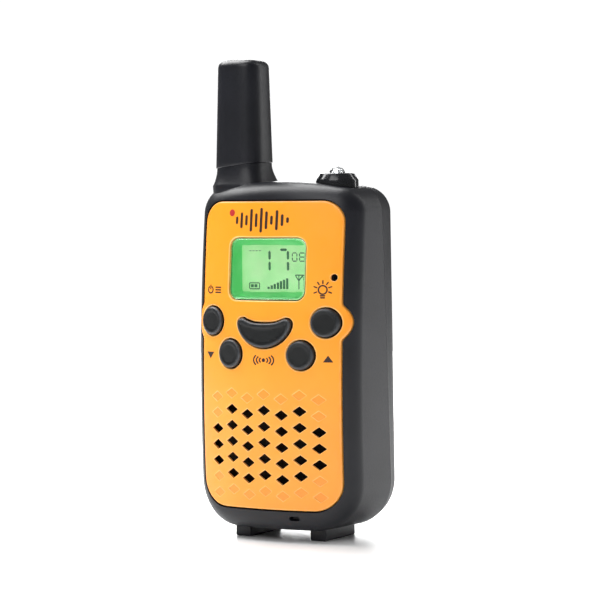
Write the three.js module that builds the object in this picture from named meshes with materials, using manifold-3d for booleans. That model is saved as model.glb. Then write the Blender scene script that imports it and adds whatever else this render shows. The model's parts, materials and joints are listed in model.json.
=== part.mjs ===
// Toy walkie talkie: a hand-held two-way radio for children, with a stub antenna, a torch on
// its top, a lit display, five push buttons, a speaker behind a grille of diamond holes, four
// AAA cells behind a door, and a sprung belt clip on its back.
//
// Millimetres, +Z up. The face looks along -Y, +X is on its right as seen from the front.
// While it is put together, Y = 0 is the foremost line of the curved face and Z = 0 is the
// surface that the feet stand on. At the end the whole unit is moved along Y, so that the
// origin lies under the middle of its outer box.
import * as THREE from 'three';
import { ParametricGeometry } from 'three/addons/geometries/ParametricGeometry.js';
import { mergeVertices } from 'three/addons/utils/BufferGeometryUtils.js';
import Module from 'manifold-3d';

const wasm = await Module();
wasm.setup();

// ---------------------------------------------------------------- driving dimensions

// Case
const caseWidth = 55.4;
const caseHeight = 103.5;
const caseDepth = 36;            // from the foremost line of the face to the back, at mid height
const backLean = 0.02;           // the back comes forward by this much per mm of height
const footHeight = 2.8;
const wall = 2.2;
const faceRadius = 65;           // curve of the face across its width
const faceRiseRadius = 486;      // curve of the face up its height
const faceApexHeight = 41.3;
const frontEdgeRadius = 5;
const backEdgeRadius = 8.5;
const frontDraft = 0.5;          // the front edge is this much narrower a side than the seam
const backDraft = 0.3;
const shoulderRadius = 8;
const heelRadius = 14.5;         // lower corners of the outline
const crownRadius = 122;
const seamDepth = 25.3;          // at mid height
const seamLean = THREE.MathUtils.degToRad(3);
const clearance = 0.3;           // between neighbouring pieces

// Feet
const footWidth = 5.3;
const footX = 12.8;
const footFront = 9;
const footBack = 27.3;
const footChamfer = 1;

// Face plate
const plateBorder = 4.24;        // case edge to plate edge, at each side
const plateTopGap = 6.2;         // case top to plate top
const plateBottomGap = 6.8;
const plateTopRadius = 6.5;
const plateBottomRadius = 8.5;
const plateThickness = 1.8;
const plateGroove = 0.4;
const wallBehindPlate = 2;

// Buttons
const buttonDiameter = 8.4;
const buttonProud = 1.1;
const buttonTravel = 1;
const flangeRim = 1.1;           // the flange is this much wider than the button all round
const flangeThickness = 1;
const upperButtonInset = 4.3;    // plate edge to the centre of an upper button
const upperButtonDrop = 41.6;    // case top to the centre of an upper button
const lowerButtonX = 11.9;
const lowerButtonDrop = 51.1;
const earRim = 2.1;              // width of plate round an upper button
const talkHalfWidth = 9.1;
const talkTopDrop = 40.5;        // case top to the horns of the talk button
const talkHeight = 8.6;
const talkDip = 1.4;             // how far its upper edge sags in the middle
const talkHornRadius = 1.5;

// Display
const windowWidth = 26;
const windowHeight = 18.5;
const windowCorner = 3;
const windowDrop = 26.1;         // case top to the middle of the window
const windowThickness = 1.2;
const windowRecess = 0.2;
const bezelWall = 0.6;           // at its front edge
const bezelSlope = 1.5;          // how far its opening narrows towards the glass, a side
const glassSink = 3.6;           // deepest corner of the window's face to the glass
const glassThickness = 2;
const glassInset = 1;            // edge of the bezel to the edge of the glass behind it
const connectorHeight = 2.4;

// Circuit board and keypad
const boardThickness = 1.6;
const boardMargin = 2.6;         // inside of the case to the edge of the board
const boardBottomDrop = 57.5;    // case top to the lower edge of the board
const boardTopDrop = 9;
const membraneThickness = 1.3;
const keypadGap = 0.7;           // keypad to the flange of a pressed upper button
const membraneMargin = 3;
const membraneAbove = 1.3;       // upper buttons to the upper edge of the keypad
const membraneBelow = 3;
const stemDiameter = 4;
const contactThickness = 0.8;

// Speaker and grille
const grilleHeight = 25.9;       // case bottom to the middle of the grille
const grilleColumns = 7;
const grilleRows = 7;
const columnPitch = 5.735;
const rowPitch = 4.755;
const columnStagger = 1.25;      // the odd columns sit this much lower than the even ones
const diamondWidth = 3.9;
const diamondHeight = 2.7;
const soundMargin = 1;           // diamonds to the edge of the opening behind them
const soundCorner = 5;
const speakerDiameter = 36;
const speakerDepth = 4.4;
const magnetDiameter = 20;
const magnetDepth = 4;
const clothThickness = 0.6;
const clothMargin = 1.5;
const speakerRimWidth = 2.4;
const speakerRimDepth = 1.4;
const basketRim = 1.8;           // width of the step behind the rim
const basketWall = 1.5;
const coneGap = 1;               // rim of the frame to the edge of the cone
const coneThickness = 0.5;
const rollWidth = 1.6;
const rollDip = 0.3;
const dustCapRadius = 5;
const dustCapDepth = 2.2;        // front of the speaker to the foot of the dust cap
const dustCapRise = 1.2;

// Microphone
const soundHoleDiameter = 2.1;
const soundHoleInset = 2.2;      // plate edge to its centre
const soundHoleDrop = 28.5;      // case top to its centre
const microphoneDiameter = 4;
const microphoneDepth = 2;

// Antenna
const topRowX = 15.8;            // antenna to the left and torch to the right of the middle
const topRowSink = 10.7;         // face below them, at the case top, to their axes
const antennaHeight = 36.3;      // case top to the tip
const antennaTipHalf = 6.9;      // half the width of its rounded square section
const antennaFootHalf = 7.8;
const antennaTipRound = 2.6;
const antennaSplitRise = 4.3;    // case top to the split above the collar
const antennaSplitLean = THREE.MathUtils.degToRad(7);
const collarTopHalf = 7.45;
const collarWaistHalf = 8.05;    // halfway up
const collarFootHalf = 8.9;
const collarFootShift = 0.7;     // the collar flares more towards the middle of the case
const antennaSquareness = 3;     // exponent of the superellipse section
const antennaBore = 8.4;
const plugStemDiameter = 6;
const plugHeight = 4;
const nutDiameter = 10.5;
const nutHeight = 2.5;
const nutDrop = 5;               // case top to the upper face of the nut
const antennaTipWall = 8;        // tip of the antenna to the end of its bore
const collarRoot = 7;            // how far the collar's solid reaches into the case
const coilDiameter = 5.6;
const coilWire = 0.8;
const coilTurns = 8;

// Torch
const torchTopRise = 1.8;        // case top to the rim of the bezel
const torchTopDiameter = 10.2;
const torchFootDiameter = 12.6;
const torchSkirt = 4;            // how far its cone would reach down past the case top
const torchSpigotDiameter = 8;
const torchSpigotLength = 9;
const lensDiameter = 5.8;
const lensDomeDiameter = 4.8;
const lensShoulderDrop = 0.4;    // rim of the bezel to the flange that the dome stands on
const lensSkirt = 3.6;
const ledDiameter = 5;
const ledHeight = 4.2;

// Cells and door
const cellDiameter = 10.5;
const cellLength = 44.5;
const cellCount = 4;
const springLength = 3.6;
const springWire = 0.7;
const springTurns = 3;
const springFootRadius = 3;
const springTaper = 1.2;         // how much smaller its radius is at the cell
const contactPlate = 0.4;
const bayBottom = 11.7;          // case bottom to the bottom of the cell bay
const bayWall = 1.5;
const doorThickness = 2;
const nippleDiameter = 3.6;
const nippleHeight = 0.8;
const contactWidth = 7;

// Screws
const screwShaft = 2.2;
const screwHead = 4.2;
const screwHeadHeight = 1.8;
const screwLength = 12;
const bossDiameter = 5.8;
const rearBossDiameter = 6.8;
const screwSeat = 3.2;           // seam to the seat of the screw's head
const upperScrewDrop = 15.3;
const upperScrewX = 21.3;
const lowerScrewRise = 6.9;
const lowerScrewX = 18.5;

// Belt clip
const clipWidth = 16;
const clipLength = 36;
const clipThickness = 2.2;
const clipPivotDrop = 18.3;      // case top to the pin
const clipStand = 2.8;           // axis of the pin to the near face of the lever
const clipAbovePin = 13.5;
const clipHub = 2.4;             // radius of the lever's hubs
const hubLength = 2.6;
const lugThickness = 2;
const lugRadius = 2.2;
const bracketThickness = 1.4;
const bracketHeight = 12;
const pinDiameter = 1.9;
const clipSpringDiameter = 4;
const clipSpringWire = 0.6;
const clipSpringTurns = 4;
const jawThickness = 3;

// ---------------------------------------------------------------- places worked out from them

const halfWidth = caseWidth / 2;
const caseBottom = footHeight;
const caseTop = footHeight + caseHeight;
const middleHeight = (caseBottom + caseTop) / 2;
const innerFrontDepth = plateThickness + clearance + wallBehindPlate;
const plateHalfWidth = halfWidth - plateBorder;
const plateTop = caseTop - plateTopGap;
const plateBottom = caseBottom + plateBottomGap;
const upperButtonX = plateHalfWidth - upperButtonInset;
const upperButtonZ = caseTop - upperButtonDrop;
const lowerButtonZ = caseTop - lowerButtonDrop;
const holeDiameter = buttonDiameter + 2 * clearance;
const windowZ = caseTop - windowDrop;
const grilleZ = caseBottom + grilleHeight;
const innerHalfWidth = halfWidth - wall;
const cellPitch = cellDiameter + clearance;
const bayHalfWidth = (cellCount * cellPitch + clearance) / 2;
const bayLength = cellLength + springLength + 2 * contactPlate + 5 * clearance;
const bayLow = caseBottom + bayBottom;
const bayHigh = bayLow + bayLength;
const backAt = (z) => caseDepth - backLean * (z - middleHeight);
const cellY = backAt(bayHigh) - doorThickness - 2 * clearance - cellDiameter / 2;
const bayFloor = cellY - cellDiameter / 2 - clearance;
const pivotZ = caseTop - clipPivotDrop;
const pivotY = backAt(pivotZ) + bracketThickness + clearance + clipHub;
const seamAt = (z) => seamDepth - Math.tan(seamLean) * (z - middleHeight);
const screwPlaces = [
  { name: 'case_screw_1', x: -upperScrewX, z: caseTop - upperScrewDrop },
  { name: 'case_screw_2', x: upperScrewX, z: caseTop - upperScrewDrop },
  { name: 'case_screw_3', x: -lowerScrewX, z: caseBottom + lowerScrewRise },
  { name: 'case_screw_4', x: lowerScrewX, z: caseBottom + lowerScrewRise },
];

// ---------------------------------------------------------------- solids

/** The exact solid of a closed geometry, its faces turned outwards if they point in. Triangles
    that shrink to a line at a pole are dropped. */
function solid(geometry) {
  const bare = geometry.clone();
  bare.deleteAttribute('normal');
  bare.deleteAttribute('uv');
  const merged = mergeVertices(bare, 1e-4);
  const corners = merged.index.array;
  const triangles = [];
  for (let i = 0; i < corners.length; i += 3) {
    const [a, b, c] = [corners[i], corners[i + 1], corners[i + 2]];
    if (a !== b && b !== c && c !== a) triangles.push(a, b, c);
  }
  const vertProperties = new Float32Array(merged.attributes.position.array);
  const triVerts = new Uint32Array(triangles);
  const made = new wasm.Manifold(new wasm.Mesh({ numProp: 3, vertProperties, triVerts }));
  if (made.volume() > 0) return made;
  const turnedOut = triVerts.slice().reverse();
  return new wasm.Manifold(new wasm.Mesh({ numProp: 3, vertProperties, triVerts: turnedOut }));
}

/** The triangles of a solid as a three.js geometry. */
function geometryOf(made) {
  const mesh = made.getMesh();
  const geometry = new THREE.BufferGeometry();
  geometry.setAttribute('position', new THREE.BufferAttribute(mesh.vertProperties, 3));
  geometry.setIndex(new THREE.BufferAttribute(mesh.triVerts, 1));
  geometry.computeVertexNormals();
  return geometry;
}

const joined = (solids) => solids.reduce((sum, each) => sum.add(each));
const moved = (geometry, x, y, z) => geometry.translate(x, y, z);

/** A box between two opposite corners. */
function block(x0, x1, y0, y1, z0, z1) {
  const box = new THREE.BoxGeometry(x1 - x0, y1 - y0, z1 - z0);
  return solid(moved(box, (x0 + x1) / 2, (y0 + y1) / 2, (z0 + z1) / 2));
}

/** A front view outline, drawn in X and Z, carried straight back from one depth to another. */
function prism(shape, front, back, curveSegments = 3) {
  const settings = { depth: back - front, bevelEnabled: false, curveSegments };
  const geometry = new THREE.ExtrudeGeometry(shape, settings);
  geometry.rotateX(Math.PI / 2);
  return solid(moved(geometry, 0, back, 0));
}

/** A side view outline, drawn in Y and Z, carried across from one X to another. */
function slab(shape, left, right, curveSegments = 6) {
  const settings = { depth: right - left, bevelEnabled: false, curveSegments };
  const geometry = new THREE.ExtrudeGeometry(shape, settings);
  const alongX = new THREE.Matrix4().makeBasis(
    new THREE.Vector3(0, 1, 0),
    new THREE.Vector3(0, 0, 1),
    new THREE.Vector3(1, 0, 0),
  );
  return solid(moved(geometry.applyMatrix4(alongX), left, 0, 0));
}

/** A cylinder whose axis runs front to back. */
function barrel(x, z, diameter, front, back, sides = 16) {
  const geometry = new THREE.CylinderGeometry(diameter / 2, diameter / 2, back - front, sides);
  return solid(moved(geometry, x, (front + back) / 2, z));
}

/** A cylinder or cone that stands upright. */
function post(x, y, footDiameter, topDiameter, low, high, sides = 16) {
  const geometry = new THREE.CylinderGeometry(topDiameter / 2, footDiameter / 2, high - low, sides);
  geometry.rotateX(Math.PI / 2);
  return solid(moved(geometry, x, y, (low + high) / 2));
}

/** A cylinder whose axis runs across, along X. */
function axle(y, z, diameter, left, right, sides = 12) {
  const geometry = new THREE.CylinderGeometry(diameter / 2, diameter / 2, right - left, sides);
  geometry.rotateZ(Math.PI / 2);
  return solid(moved(geometry, (left + right) / 2, y, z));
}

/** A closed skin over rings that all have the same number of points. */
function loft(rings) {
  const pole = (ring) => {
    const middle = ring.reduce((sum, point) => sum.add(point), new THREE.Vector3());
    return ring.map(() => middle.clone().divideScalar(ring.length));
  };
  const around = rings[0].length;
  const last = rings.length + 1;
  const closed = [pole(rings[0]), ...rings, pole(rings[rings.length - 1])];
  const pick = (u, v, target) => {
    target.copy(closed[Math.round(v * last)][Math.round(u * around) % around]);
  };
  return solid(new ParametricGeometry(pick, around, last));
}

/** A solid of revolution about an axis that runs front to back, or about an upright one. */
function turned(x, yz, profile, upright, sides = 16) {
  const points = profile.map(([radius, along]) => new THREE.Vector2(radius, along));
  const geometry = new THREE.LatheGeometry(points, sides);
  if (upright) geometry.rotateX(Math.PI / 2);
  return solid(upright ? moved(geometry, x, yz, 0) : moved(geometry, x, 0, yz));
}

/** A coil or a spring: a helix of round wire along `axis` from `start`. */
function coil(start, axis, length, radiusAt, wire, turns, stepsPerTurn, sides) {
  const side = new THREE.Vector3(axis.z, axis.x, axis.y);
  const other = axis.clone().cross(side);
  const path = new THREE.Curve();
  path.getPoint = (t) => {
    const angle = 2 * Math.PI * turns * t;
    const radius = radiusAt(t);
    return start.clone()
      .addScaledVector(axis, length * t)
      .addScaledVector(side, radius * Math.cos(angle))
      .addScaledVector(other, radius * Math.sin(angle));
  };
  const section = new THREE.Shape();
  section.absarc(0, 0, wire / 2, 0, 2 * Math.PI);
  const settings = {
    steps: turns * stepsPerTurn,
    curveSegments: sides / 2,
    extrudePath: path,
    bevelEnabled: false,
  };
  return solid(new THREE.ExtrudeGeometry(section, settings));
}

// ---------------------------------------------------------------- outlines

/** A rectangle with rounded corners, one radius for the upper two and one for the lower. */
function roundedRectangle(x, z, width, height, topRadius, bottomRadius = topRadius) {
  const [left, right] = [x - width / 2, x + width / 2];
  const [low, high] = [z - height / 2, z + height / 2];
  const quarter = Math.PI / 2;
  const shape = new THREE.Shape();
  shape.absarc(right - bottomRadius, low + bottomRadius, bottomRadius, -quarter, 0);
  shape.absarc(right - topRadius, high - topRadius, topRadius, 0, quarter);
  shape.absarc(left + topRadius, high - topRadius, topRadius, quarter, 2 * quarter);
  shape.absarc(left + bottomRadius, low + bottomRadius, bottomRadius, 2 * quarter, 3 * quarter);
  return shape;
}

/** The talk button: a crescent with round horns, grown all round by a margin. */
function talkOutline(margin) {
  const high = caseTop - talkTopDrop + margin;
  const low = caseTop - talkTopDrop - talkHeight - margin;
  const reach = talkHalfWidth + margin;
  const horn = talkHornRadius + margin;
  const shape = new THREE.Shape();
  shape.moveTo(0, high - talkDip);
  shape.quadraticCurveTo((reach - horn) / 2, high - talkDip, reach - 1.4 * horn, high);
  shape.quadraticCurveTo(reach, high, reach, high - horn);
  shape.bezierCurveTo(reach, (high + low) / 2, reach * 0.6, low, 0, low);
  shape.bezierCurveTo(-reach * 0.6, low, -reach, (high + low) / 2, -reach, high - horn);
  shape.quadraticCurveTo(-reach, high, -reach + 1.4 * horn, high);
  shape.quadraticCurveTo((horn - reach) / 2, high - talkDip, 0, high - talkDip);
  return shape;
}

/** One hole of the grille. */
function diamond(x, z) {
  const shape = new THREE.Shape();
  shape.moveTo(x - diamondWidth / 2, z);
  shape.lineTo(x, z - diamondHeight / 2);
  shape.lineTo(x + diamondWidth / 2, z);
  shape.lineTo(x, z + diamondHeight / 2);
  return shape;
}

/** Points on a round stretch of an outline, its end left out. */
function arcPoints(x, z, radius, from, to, steps) {
  return Array.from({ length: steps }, (_, i) => {
    const angle = from + ((to - from) * i) / steps;
    return new THREE.Vector2(x + radius * Math.cos(angle), z + radius * Math.sin(angle));
  });
}

/** The outline of the case seen from the front, a given distance inside its widest line. */
function caseOutline(inset) {
  const heel = Math.max(heelRadius - inset, 0.5);
  const shoulder = Math.max(shoulderRadius - inset, 0.5);
  const right = halfWidth - inset;
  const low = caseBottom + inset;
  const crown = crownRadius - inset;
  const crownCentre = caseTop - crownRadius;
  const shoulderZ = crownCentre + Math.sqrt((crown - shoulder) ** 2 - (right - shoulder) ** 2);
  const lean = Math.atan2(shoulderZ - crownCentre, right - shoulder);
  const sideSteps = 4;
  const sidePoints = Array.from({ length: sideSteps - 1 }, (_, i) => {
    const t = (i + 1) / sideSteps;
    return new THREE.Vector2(right, (low + heel) * (1 - t) + shoulderZ * t);
  });
  const rightHalf = [
    new THREE.Vector2((right - heel) / 2, low),
    ...arcPoints(right - heel, low + heel, heel, -Math.PI / 2, 0, 6),
    new THREE.Vector2(right, low + heel),
    ...sidePoints,
    ...arcPoints(right - shoulder, shoulderZ, shoulder, 0, lean, 4),
    ...arcPoints(0, crownCentre, crown, lean, Math.PI / 2, 3),
  ];
  const leftHalf = rightHalf.map((point) => new THREE.Vector2(-point.x, point.y)).reverse();
  const bottom = new THREE.Vector2(0, low);
  const top = new THREE.Vector2(0, caseTop - inset);
  return [bottom, ...rightHalf, top, ...leftHalf];
}

/** Depth of the curved face at a place on it, before its edges are rounded. */
function faceAt(x, z) {
  const across = faceRadius - Math.sqrt(faceRadius ** 2 - x ** 2);
  return across + (z - faceApexHeight) ** 2 / (2 * faceRiseRadius);
}

/** Depth of the outer skin beside an edge of the case, its rounded edge included. */
function skinAt(x, z) {
  const inset = Math.max(halfWidth - frontDraft - Math.abs(x), 0);
  const rounding = Math.max(frontEdgeRadius - inset, 0);
  return faceAt(x, z) + frontEdgeRadius - Math.sqrt(frontEdgeRadius ** 2 - rounding ** 2);
}

/** The case as one solid, drawn in by a wall at its sides, at its face and at its back. What
    lies out of sight is made with fewer steps round its edges and across its face. */
function caseBody(side, front, back, edgeSteps = 3, faceScales = [0, 0.35, 0.7]) {
  const frontRadius = Math.max(frontEdgeRadius - side, 1);
  const backRadius = Math.max(backEdgeRadius - side, 1);
  const middle = new THREE.Vector2(0, middleHeight);
  const ring = (outline, depthAt) => outline.map(({ x, y }) => new THREE.Vector3(x, depthAt(x, y), y));
  const edgeAngles = Array.from({ length: edgeSteps + 1 }, (_, i) => (Math.PI / 2) * (i / edgeSteps));
  const backRings = edgeAngles.map((angle) => {
    const outline = caseOutline(side + backDraft + backRadius * (1 - Math.sin(angle)));
    const fall = back + backRadius * (1 - Math.cos(angle));
    return ring(outline, (x, z) => backAt(z) - fall);
  });
  const frontRings = edgeAngles.map((angle) => {
    const outline = caseOutline(side + frontDraft + frontRadius * (1 - Math.sin(angle)));
    const rise = front + frontRadius * (1 - Math.cos(angle));
    return ring(outline, (x, z) => faceAt(x, z) + rise);
  });
  const faceEdge = caseOutline(side + frontDraft + frontRadius);
  const faceRings = faceScales.map((scale) => {
    const outline = faceEdge.map((point) => point.clone().lerp(middle, 1 - scale));
    return ring(outline, (x, z) => faceAt(x, z) + front);
  });
  const seamRing = ring(caseOutline(side), (x, z) => seamAt(z));
  return loft([...backRings, seamRing, ...[...faceRings, ...frontRings].reverse()]);
}

/** Where a flange that reaches this far from the middle clears the wall behind the plate. */
const flangeFrontAt = (reach) => skinAt(reach, upperButtonZ) + innerFrontDepth + clearance;
const flangeDiameter = buttonDiameter + 2 * flangeRim;
const deepestFlange = flangeFrontAt(upperButtonX + flangeDiameter / 2) + flangeThickness;
const membraneFront = deepestFlange + buttonTravel + keypadGap;
const membraneBack = membraneFront + membraneThickness;
const boardDepth = membraneBack + clearance;
const glassDepth = faceAt(windowWidth / 2, windowZ + windowHeight / 2) + glassSink;
const topRowY = faceAt(topRowX, caseTop) + topRowSink;

// ---------------------------------------------------------------- case shells

const outer = caseBody(0, 0, 0);
const cavity = caseBody(wall, innerFrontDepth, wall, 2, [0, 0.6]);
const outsideCase = caseBody(-clearance, -clearance, -clearance);
const plainCase = caseBody(0, 0, 0, 2, [0, 0.6]);
const belowFace = (depth) => plainCase.translate([0, depth, 0]);
const topCut = 15;               // reach of the holes through the top wall
const farFront = -20;
const farBack = caseDepth + 20;
const wide = caseWidth;

/** All that lies in front of the seam, or behind it, up to a gap from the seam plane. */
function besideSeam(isFront, gap) {
  const near = isFront ? 2 * farFront : gap / 2;
  const far = isFront ? -gap / 2 : 2 * farBack;
  const box = new THREE.BoxGeometry(2 * wide, far - near, 4 * caseHeight);
  box.translate(0, (near + far) / 2, 0);
  box.rotateX(seamLean);
  return solid(moved(box, 0, seamDepth, middleHeight));
}

/** The plate's area with its two ears, grown all round by a margin, as a solid that runs
    through the front of the case. */
const plateArea = (margin) => {
  const width = 2 * (plateHalfWidth + margin);
  const height = plateTop - plateBottom + 2 * margin;
  const middleZ = (plateTop + plateBottom) / 2;
  const radii = [plateTopRadius + margin, plateBottomRadius + margin];
  const panel = prism(roundedRectangle(0, middleZ, width, height, ...radii), farFront, seamDepth);
  const ear = (x) => {
    const diameter = buttonDiameter + 2 * (clearance + earRim + margin);
    return barrel(x, upperButtonZ, diameter, farFront, seamDepth, 28);
  };
  return joined([panel, ear(-upperButtonX), ear(upperButtonX)]);
};

const roundButtons = [
  { name: 'power', x: -upperButtonX, z: upperButtonZ },
  { name: 'torch', x: upperButtonX, z: upperButtonZ },
  { name: 'down', x: -lowerButtonX, z: lowerButtonZ },
  { name: 'up', x: lowerButtonX, z: lowerButtonZ },
];
const talkZ = caseTop - talkTopDrop - talkHeight / 2;
const buttonHoles = joined([
  ...roundButtons.map(({ x, z }) => barrel(x, z, holeDiameter, farFront, boardDepth)),
  prism(talkOutline(clearance), farFront, boardDepth),
]);
const windowHole = prism(
  roundedRectangle(0, windowZ, windowWidth, windowHeight, windowCorner),
  farFront,
  boardDepth,
);

const talkFlangeFront = flangeFrontAt(talkHalfWidth + flangeRim);
const flangeRooms = joined([
  ...roundButtons.map(({ x, z }) => {
    const front = flangeFrontAt(Math.abs(x) + flangeDiameter / 2) - clearance;
    return barrel(x, z, flangeDiameter + 2 * clearance, front, boardDepth);
  }),
  prism(talkOutline(flangeRim + clearance), talkFlangeFront - clearance, boardDepth),
]);

const soundHoleX = plateHalfWidth - soundHoleInset;
const soundHoleZ = caseTop - soundHoleDrop;
const soundHole = barrel(soundHoleX, soundHoleZ, soundHoleDiameter, farFront, boardDepth - 1, 12);

/** Centres of the grille's diamonds. The pattern leaves out those near the corners. */
const grilleHoles = [];
for (let column = 0; column < grilleColumns; column += 1) {
  for (let row = 0; row < grilleRows; row += 1) {
    const x = (column - (grilleColumns - 1) / 2) * columnPitch;
    const stagger = column % 2 === 0 ? -columnStagger / 2 : columnStagger / 2;
    const z = grilleZ + ((grilleRows - 1) / 2 - row) * rowPitch + stagger;
    const edgeColumn = column === 0 || column === grilleColumns - 1;
    const margin = edgeColumn ? 2 : 1;
    if (row >= margin && row < grilleRows - margin) grilleHoles.push({ x, z });
  }
}

const grilleSpan = {
  width: (grilleColumns - 1) * columnPitch + diamondWidth + 2 * soundMargin,
  height: (grilleRows - 3) * rowPitch + columnStagger + diamondHeight + 2 * soundMargin,
};
const soundOpening = roundedRectangle(0, grilleZ, grilleSpan.width, grilleSpan.height, soundCorner);

/** A squared post with round corners: a superellipse section of a given half width at each
    height, and a shift across where the post isn't upright. */
function squirclePost(levels) {
  const sides = 28;
  const power = 2 / antennaSquareness;
  return loft(levels.map(([half, z, shift = 0]) => Array.from({ length: sides }, (_, i) => {
    const angle = (2 * Math.PI * i) / sides;
    const [c, s] = [Math.cos(angle), Math.sin(angle)];
    const x = half * Math.sign(c) * Math.abs(c) ** power;
    const y = half * Math.sign(s) * Math.abs(s) ** power;
    return new THREE.Vector3(x + shift - topRowX, y + topRowY, z);
  })));
}

/** All that lies above the slanting split between antenna and collar, or below it. */
function besideSplit(isAbove, gap) {
  const size = 80;
  const box = new THREE.BoxGeometry(size, size, size);
  box.translate(0, 0, isAbove ? (size + gap) / 2 : -(size + gap) / 2);
  box.rotateY(-antennaSplitLean);
  return solid(moved(box, -topRowX, topRowY, caseTop + antennaSplitRise));
}

/** A round hole down through the top wall. */
function topHole(x, diameter) {
  const width = diameter + 2 * clearance;
  return post(x, topRowY, width, width, caseTop - topCut, caseTop + topCut);
}

const plugHole = topHole(-topRowX, plugStemDiameter);
const torchHole = topHole(topRowX, torchSpigotDiameter);
const collar = squirclePost([
  [collarFootHalf, caseTop - collarRoot, collarFootShift],
  [collarFootHalf, caseTop - 1, collarFootShift],
  [collarWaistHalf, caseTop + antennaSplitRise / 2, collarFootShift / 2],
  [collarTopHalf, caseTop + antennaSplitRise],
  [collarTopHalf, caseTop + 2 * antennaSplitRise],
]).intersect(besideSplit(false, clearance));
const outerWithCollar = outer.add(collar);

function makeFrontShell() {
  const frontHalf = besideSeam(true, clearance);
  const hollow = outerWithCollar.intersect(frontHalf).subtract(cavity);
  const posts = joined(screwPlaces.map(({ x, z }) => barrel(x, z, bossDiameter, 0, farBack)));
  const holes = joined(screwPlaces.map(({ x, z }) => {
    const seat = seamAt(z) + screwSeat;
    return barrel(x, z, screwShaft + 2 * clearance, seat - screwLength - 1, farBack, 16);
  }));
  const feet = joined([-footX, footX].map((x) => {
    const shape = new THREE.Shape();
    const high = caseBottom + 3;
    shape.moveTo(footFront, 0);
    shape.lineTo(footBack - footChamfer, 0);
    shape.lineTo(footBack, footChamfer);
    shape.lineTo(footBack, high);
    shape.lineTo(footFront, high);
    return slab(shape, x - footWidth / 2, x + footWidth / 2);
  })).subtract(cavity);
  const recess = plateArea(plateGroove).subtract(belowFace(plateThickness + clearance));
  const sound = prism(soundOpening, farFront, innerFrontDepth + 6);
  return hollow
    .add(posts.intersect(outer).intersect(frontHalf))
    .add(feet)
    .subtract(recess)
    .subtract(joined([holes, sound, torchHole, plugHole, windowHole, soundHole]))
    .subtract(microphoneRoom)
    .subtract(joined([buttonHoles, flangeRooms]));
}

function makeFacePlate() {
  const through = grilleHoles.map(({ x, z }) => prism(diamond(x, z), farFront, seamDepth));
  return plateArea(0)
    .intersect(outer)
    .subtract(belowFace(plateThickness))
    .subtract(joined([...through, windowHole, buttonHoles, soundHole]));
}

/** The room for the cells, grown all round by a margin and carried to a given depth. */
const bayBox = (margin, back) => {
  const reach = bayHalfWidth + margin;
  return block(-reach, reach, bayFloor - margin, back, bayLow - margin, bayHigh + margin);
};

function makeRearShell() {
  const rearHalf = besideSeam(false, clearance);
  const posts = joined(screwPlaces.map(({ x, z }) => barrel(x, z, rearBossDiameter, 0, farBack)));
  const holes = joined(screwPlaces.flatMap(({ x, z }) => {
    const seat = seamAt(z) + screwSeat;
    return [
      barrel(x, z, screwShaft + 2 * clearance, 0, farBack, 16),
      barrel(x, z, screwHead + 2 * clearance, seat, farBack),
    ];
  }));
  const seatWidth = clipWidth / 2 + clearance;
  const seatHeight = bracketHeight / 2 + clearance;
  const bracketSeat = block(-seatWidth, seatWidth, backAt(pivotZ) - clearance, farBack,
    pivotZ - seatHeight, pivotZ + seatHeight);
  const tray = bayBox(bayWall, farBack).intersect(outer);
  return outerWithCollar
    .intersect(rearHalf)
    .subtract(cavity)
    .add(posts.intersect(outer).intersect(rearHalf))
    .add(tray)
    .subtract(bayBox(0, farBack))
    .subtract(joined([holes, bracketSeat, torchHole, plugHole]));
}

function makeBatteryDoor() {
  const panel = block(clearance - bayHalfWidth, bayHalfWidth - clearance, bayFloor, farBack,
    bayLow + clearance, bayHigh - clearance);
  return panel.intersect(outer).subtract(outer.translate([0, -doorThickness, 0]));
}

// ---------------------------------------------------------------- buttons and keypad

const contactBack = boardDepth - clearance - buttonTravel;
const stemBack = contactBack - contactThickness - clearance;
const membraneTop = upperButtonZ + buttonDiameter / 2 + membraneAbove;
const membraneBottom = lowerButtonZ - buttonDiameter / 2 - membraneBelow;
const contactPlaces = [...roundButtons, { name: 'talk', x: 0, z: talkZ }];

/** A button: a top that follows the face, a flange behind the wall and a stem. */
function makeButton(x, z, flangeFront, outlineTo, flangeOutlineTo) {
  const flangeBack = flangeFront + flangeThickness;
  const top = outlineTo(farFront, flangeBack).intersect(outer.translate([0, -buttonProud, 0]));
  const flange = flangeOutlineTo(flangeFront, flangeBack);
  const stem = barrel(x, z, stemDiameter, flangeFront, stemBack);
  return joined([top, flange, stem]);
}

function makeRoundButton({ x, z }) {
  const top = (front, back) => barrel(x, z, buttonDiameter, front, back);
  const flange = (front, back) => barrel(x, z, flangeDiameter, front, back);
  return makeButton(x, z, flangeFrontAt(Math.abs(x) + flangeDiameter / 2), top, flange);
}

function makeTalkButton() {
  const top = (front, back) => prism(talkOutline(0), front, back);
  const flange = (front, back) => prism(talkOutline(flangeRim), front, back);
  return makeButton(0, talkZ, talkFlangeFront, top, flange);
}

function makeMembrane() {
  const reach = innerHalfWidth - membraneMargin;
  const sheet = block(-reach, reach, membraneFront, membraneBack, membraneBottom, membraneTop);
  const holes = contactPlaces.map(({ x, z }) => (
    barrel(x, z, stemDiameter + 2, 0, boardDepth, 12)
  ));
  return sheet.subtract(joined(holes));
}

// ---------------------------------------------------------------- display and board

const paneWidth = windowWidth - 2 * clearance;
const paneHeight = windowHeight - 2 * clearance;
const paneCorner = windowCorner - clearance;
const glassHalfWidth = paneWidth / 2 - glassInset;
const glassLow = windowZ - paneHeight / 2 + glassInset;
const glassHigh = windowZ + paneHeight / 2 - glassInset;
const lightFront = glassDepth + glassThickness + clearance;
const lightBack = boardDepth - clearance;

const windowPane = (back) => prism(
  roundedRectangle(0, windowZ, paneWidth, paneHeight, paneCorner), farFront, back);

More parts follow.
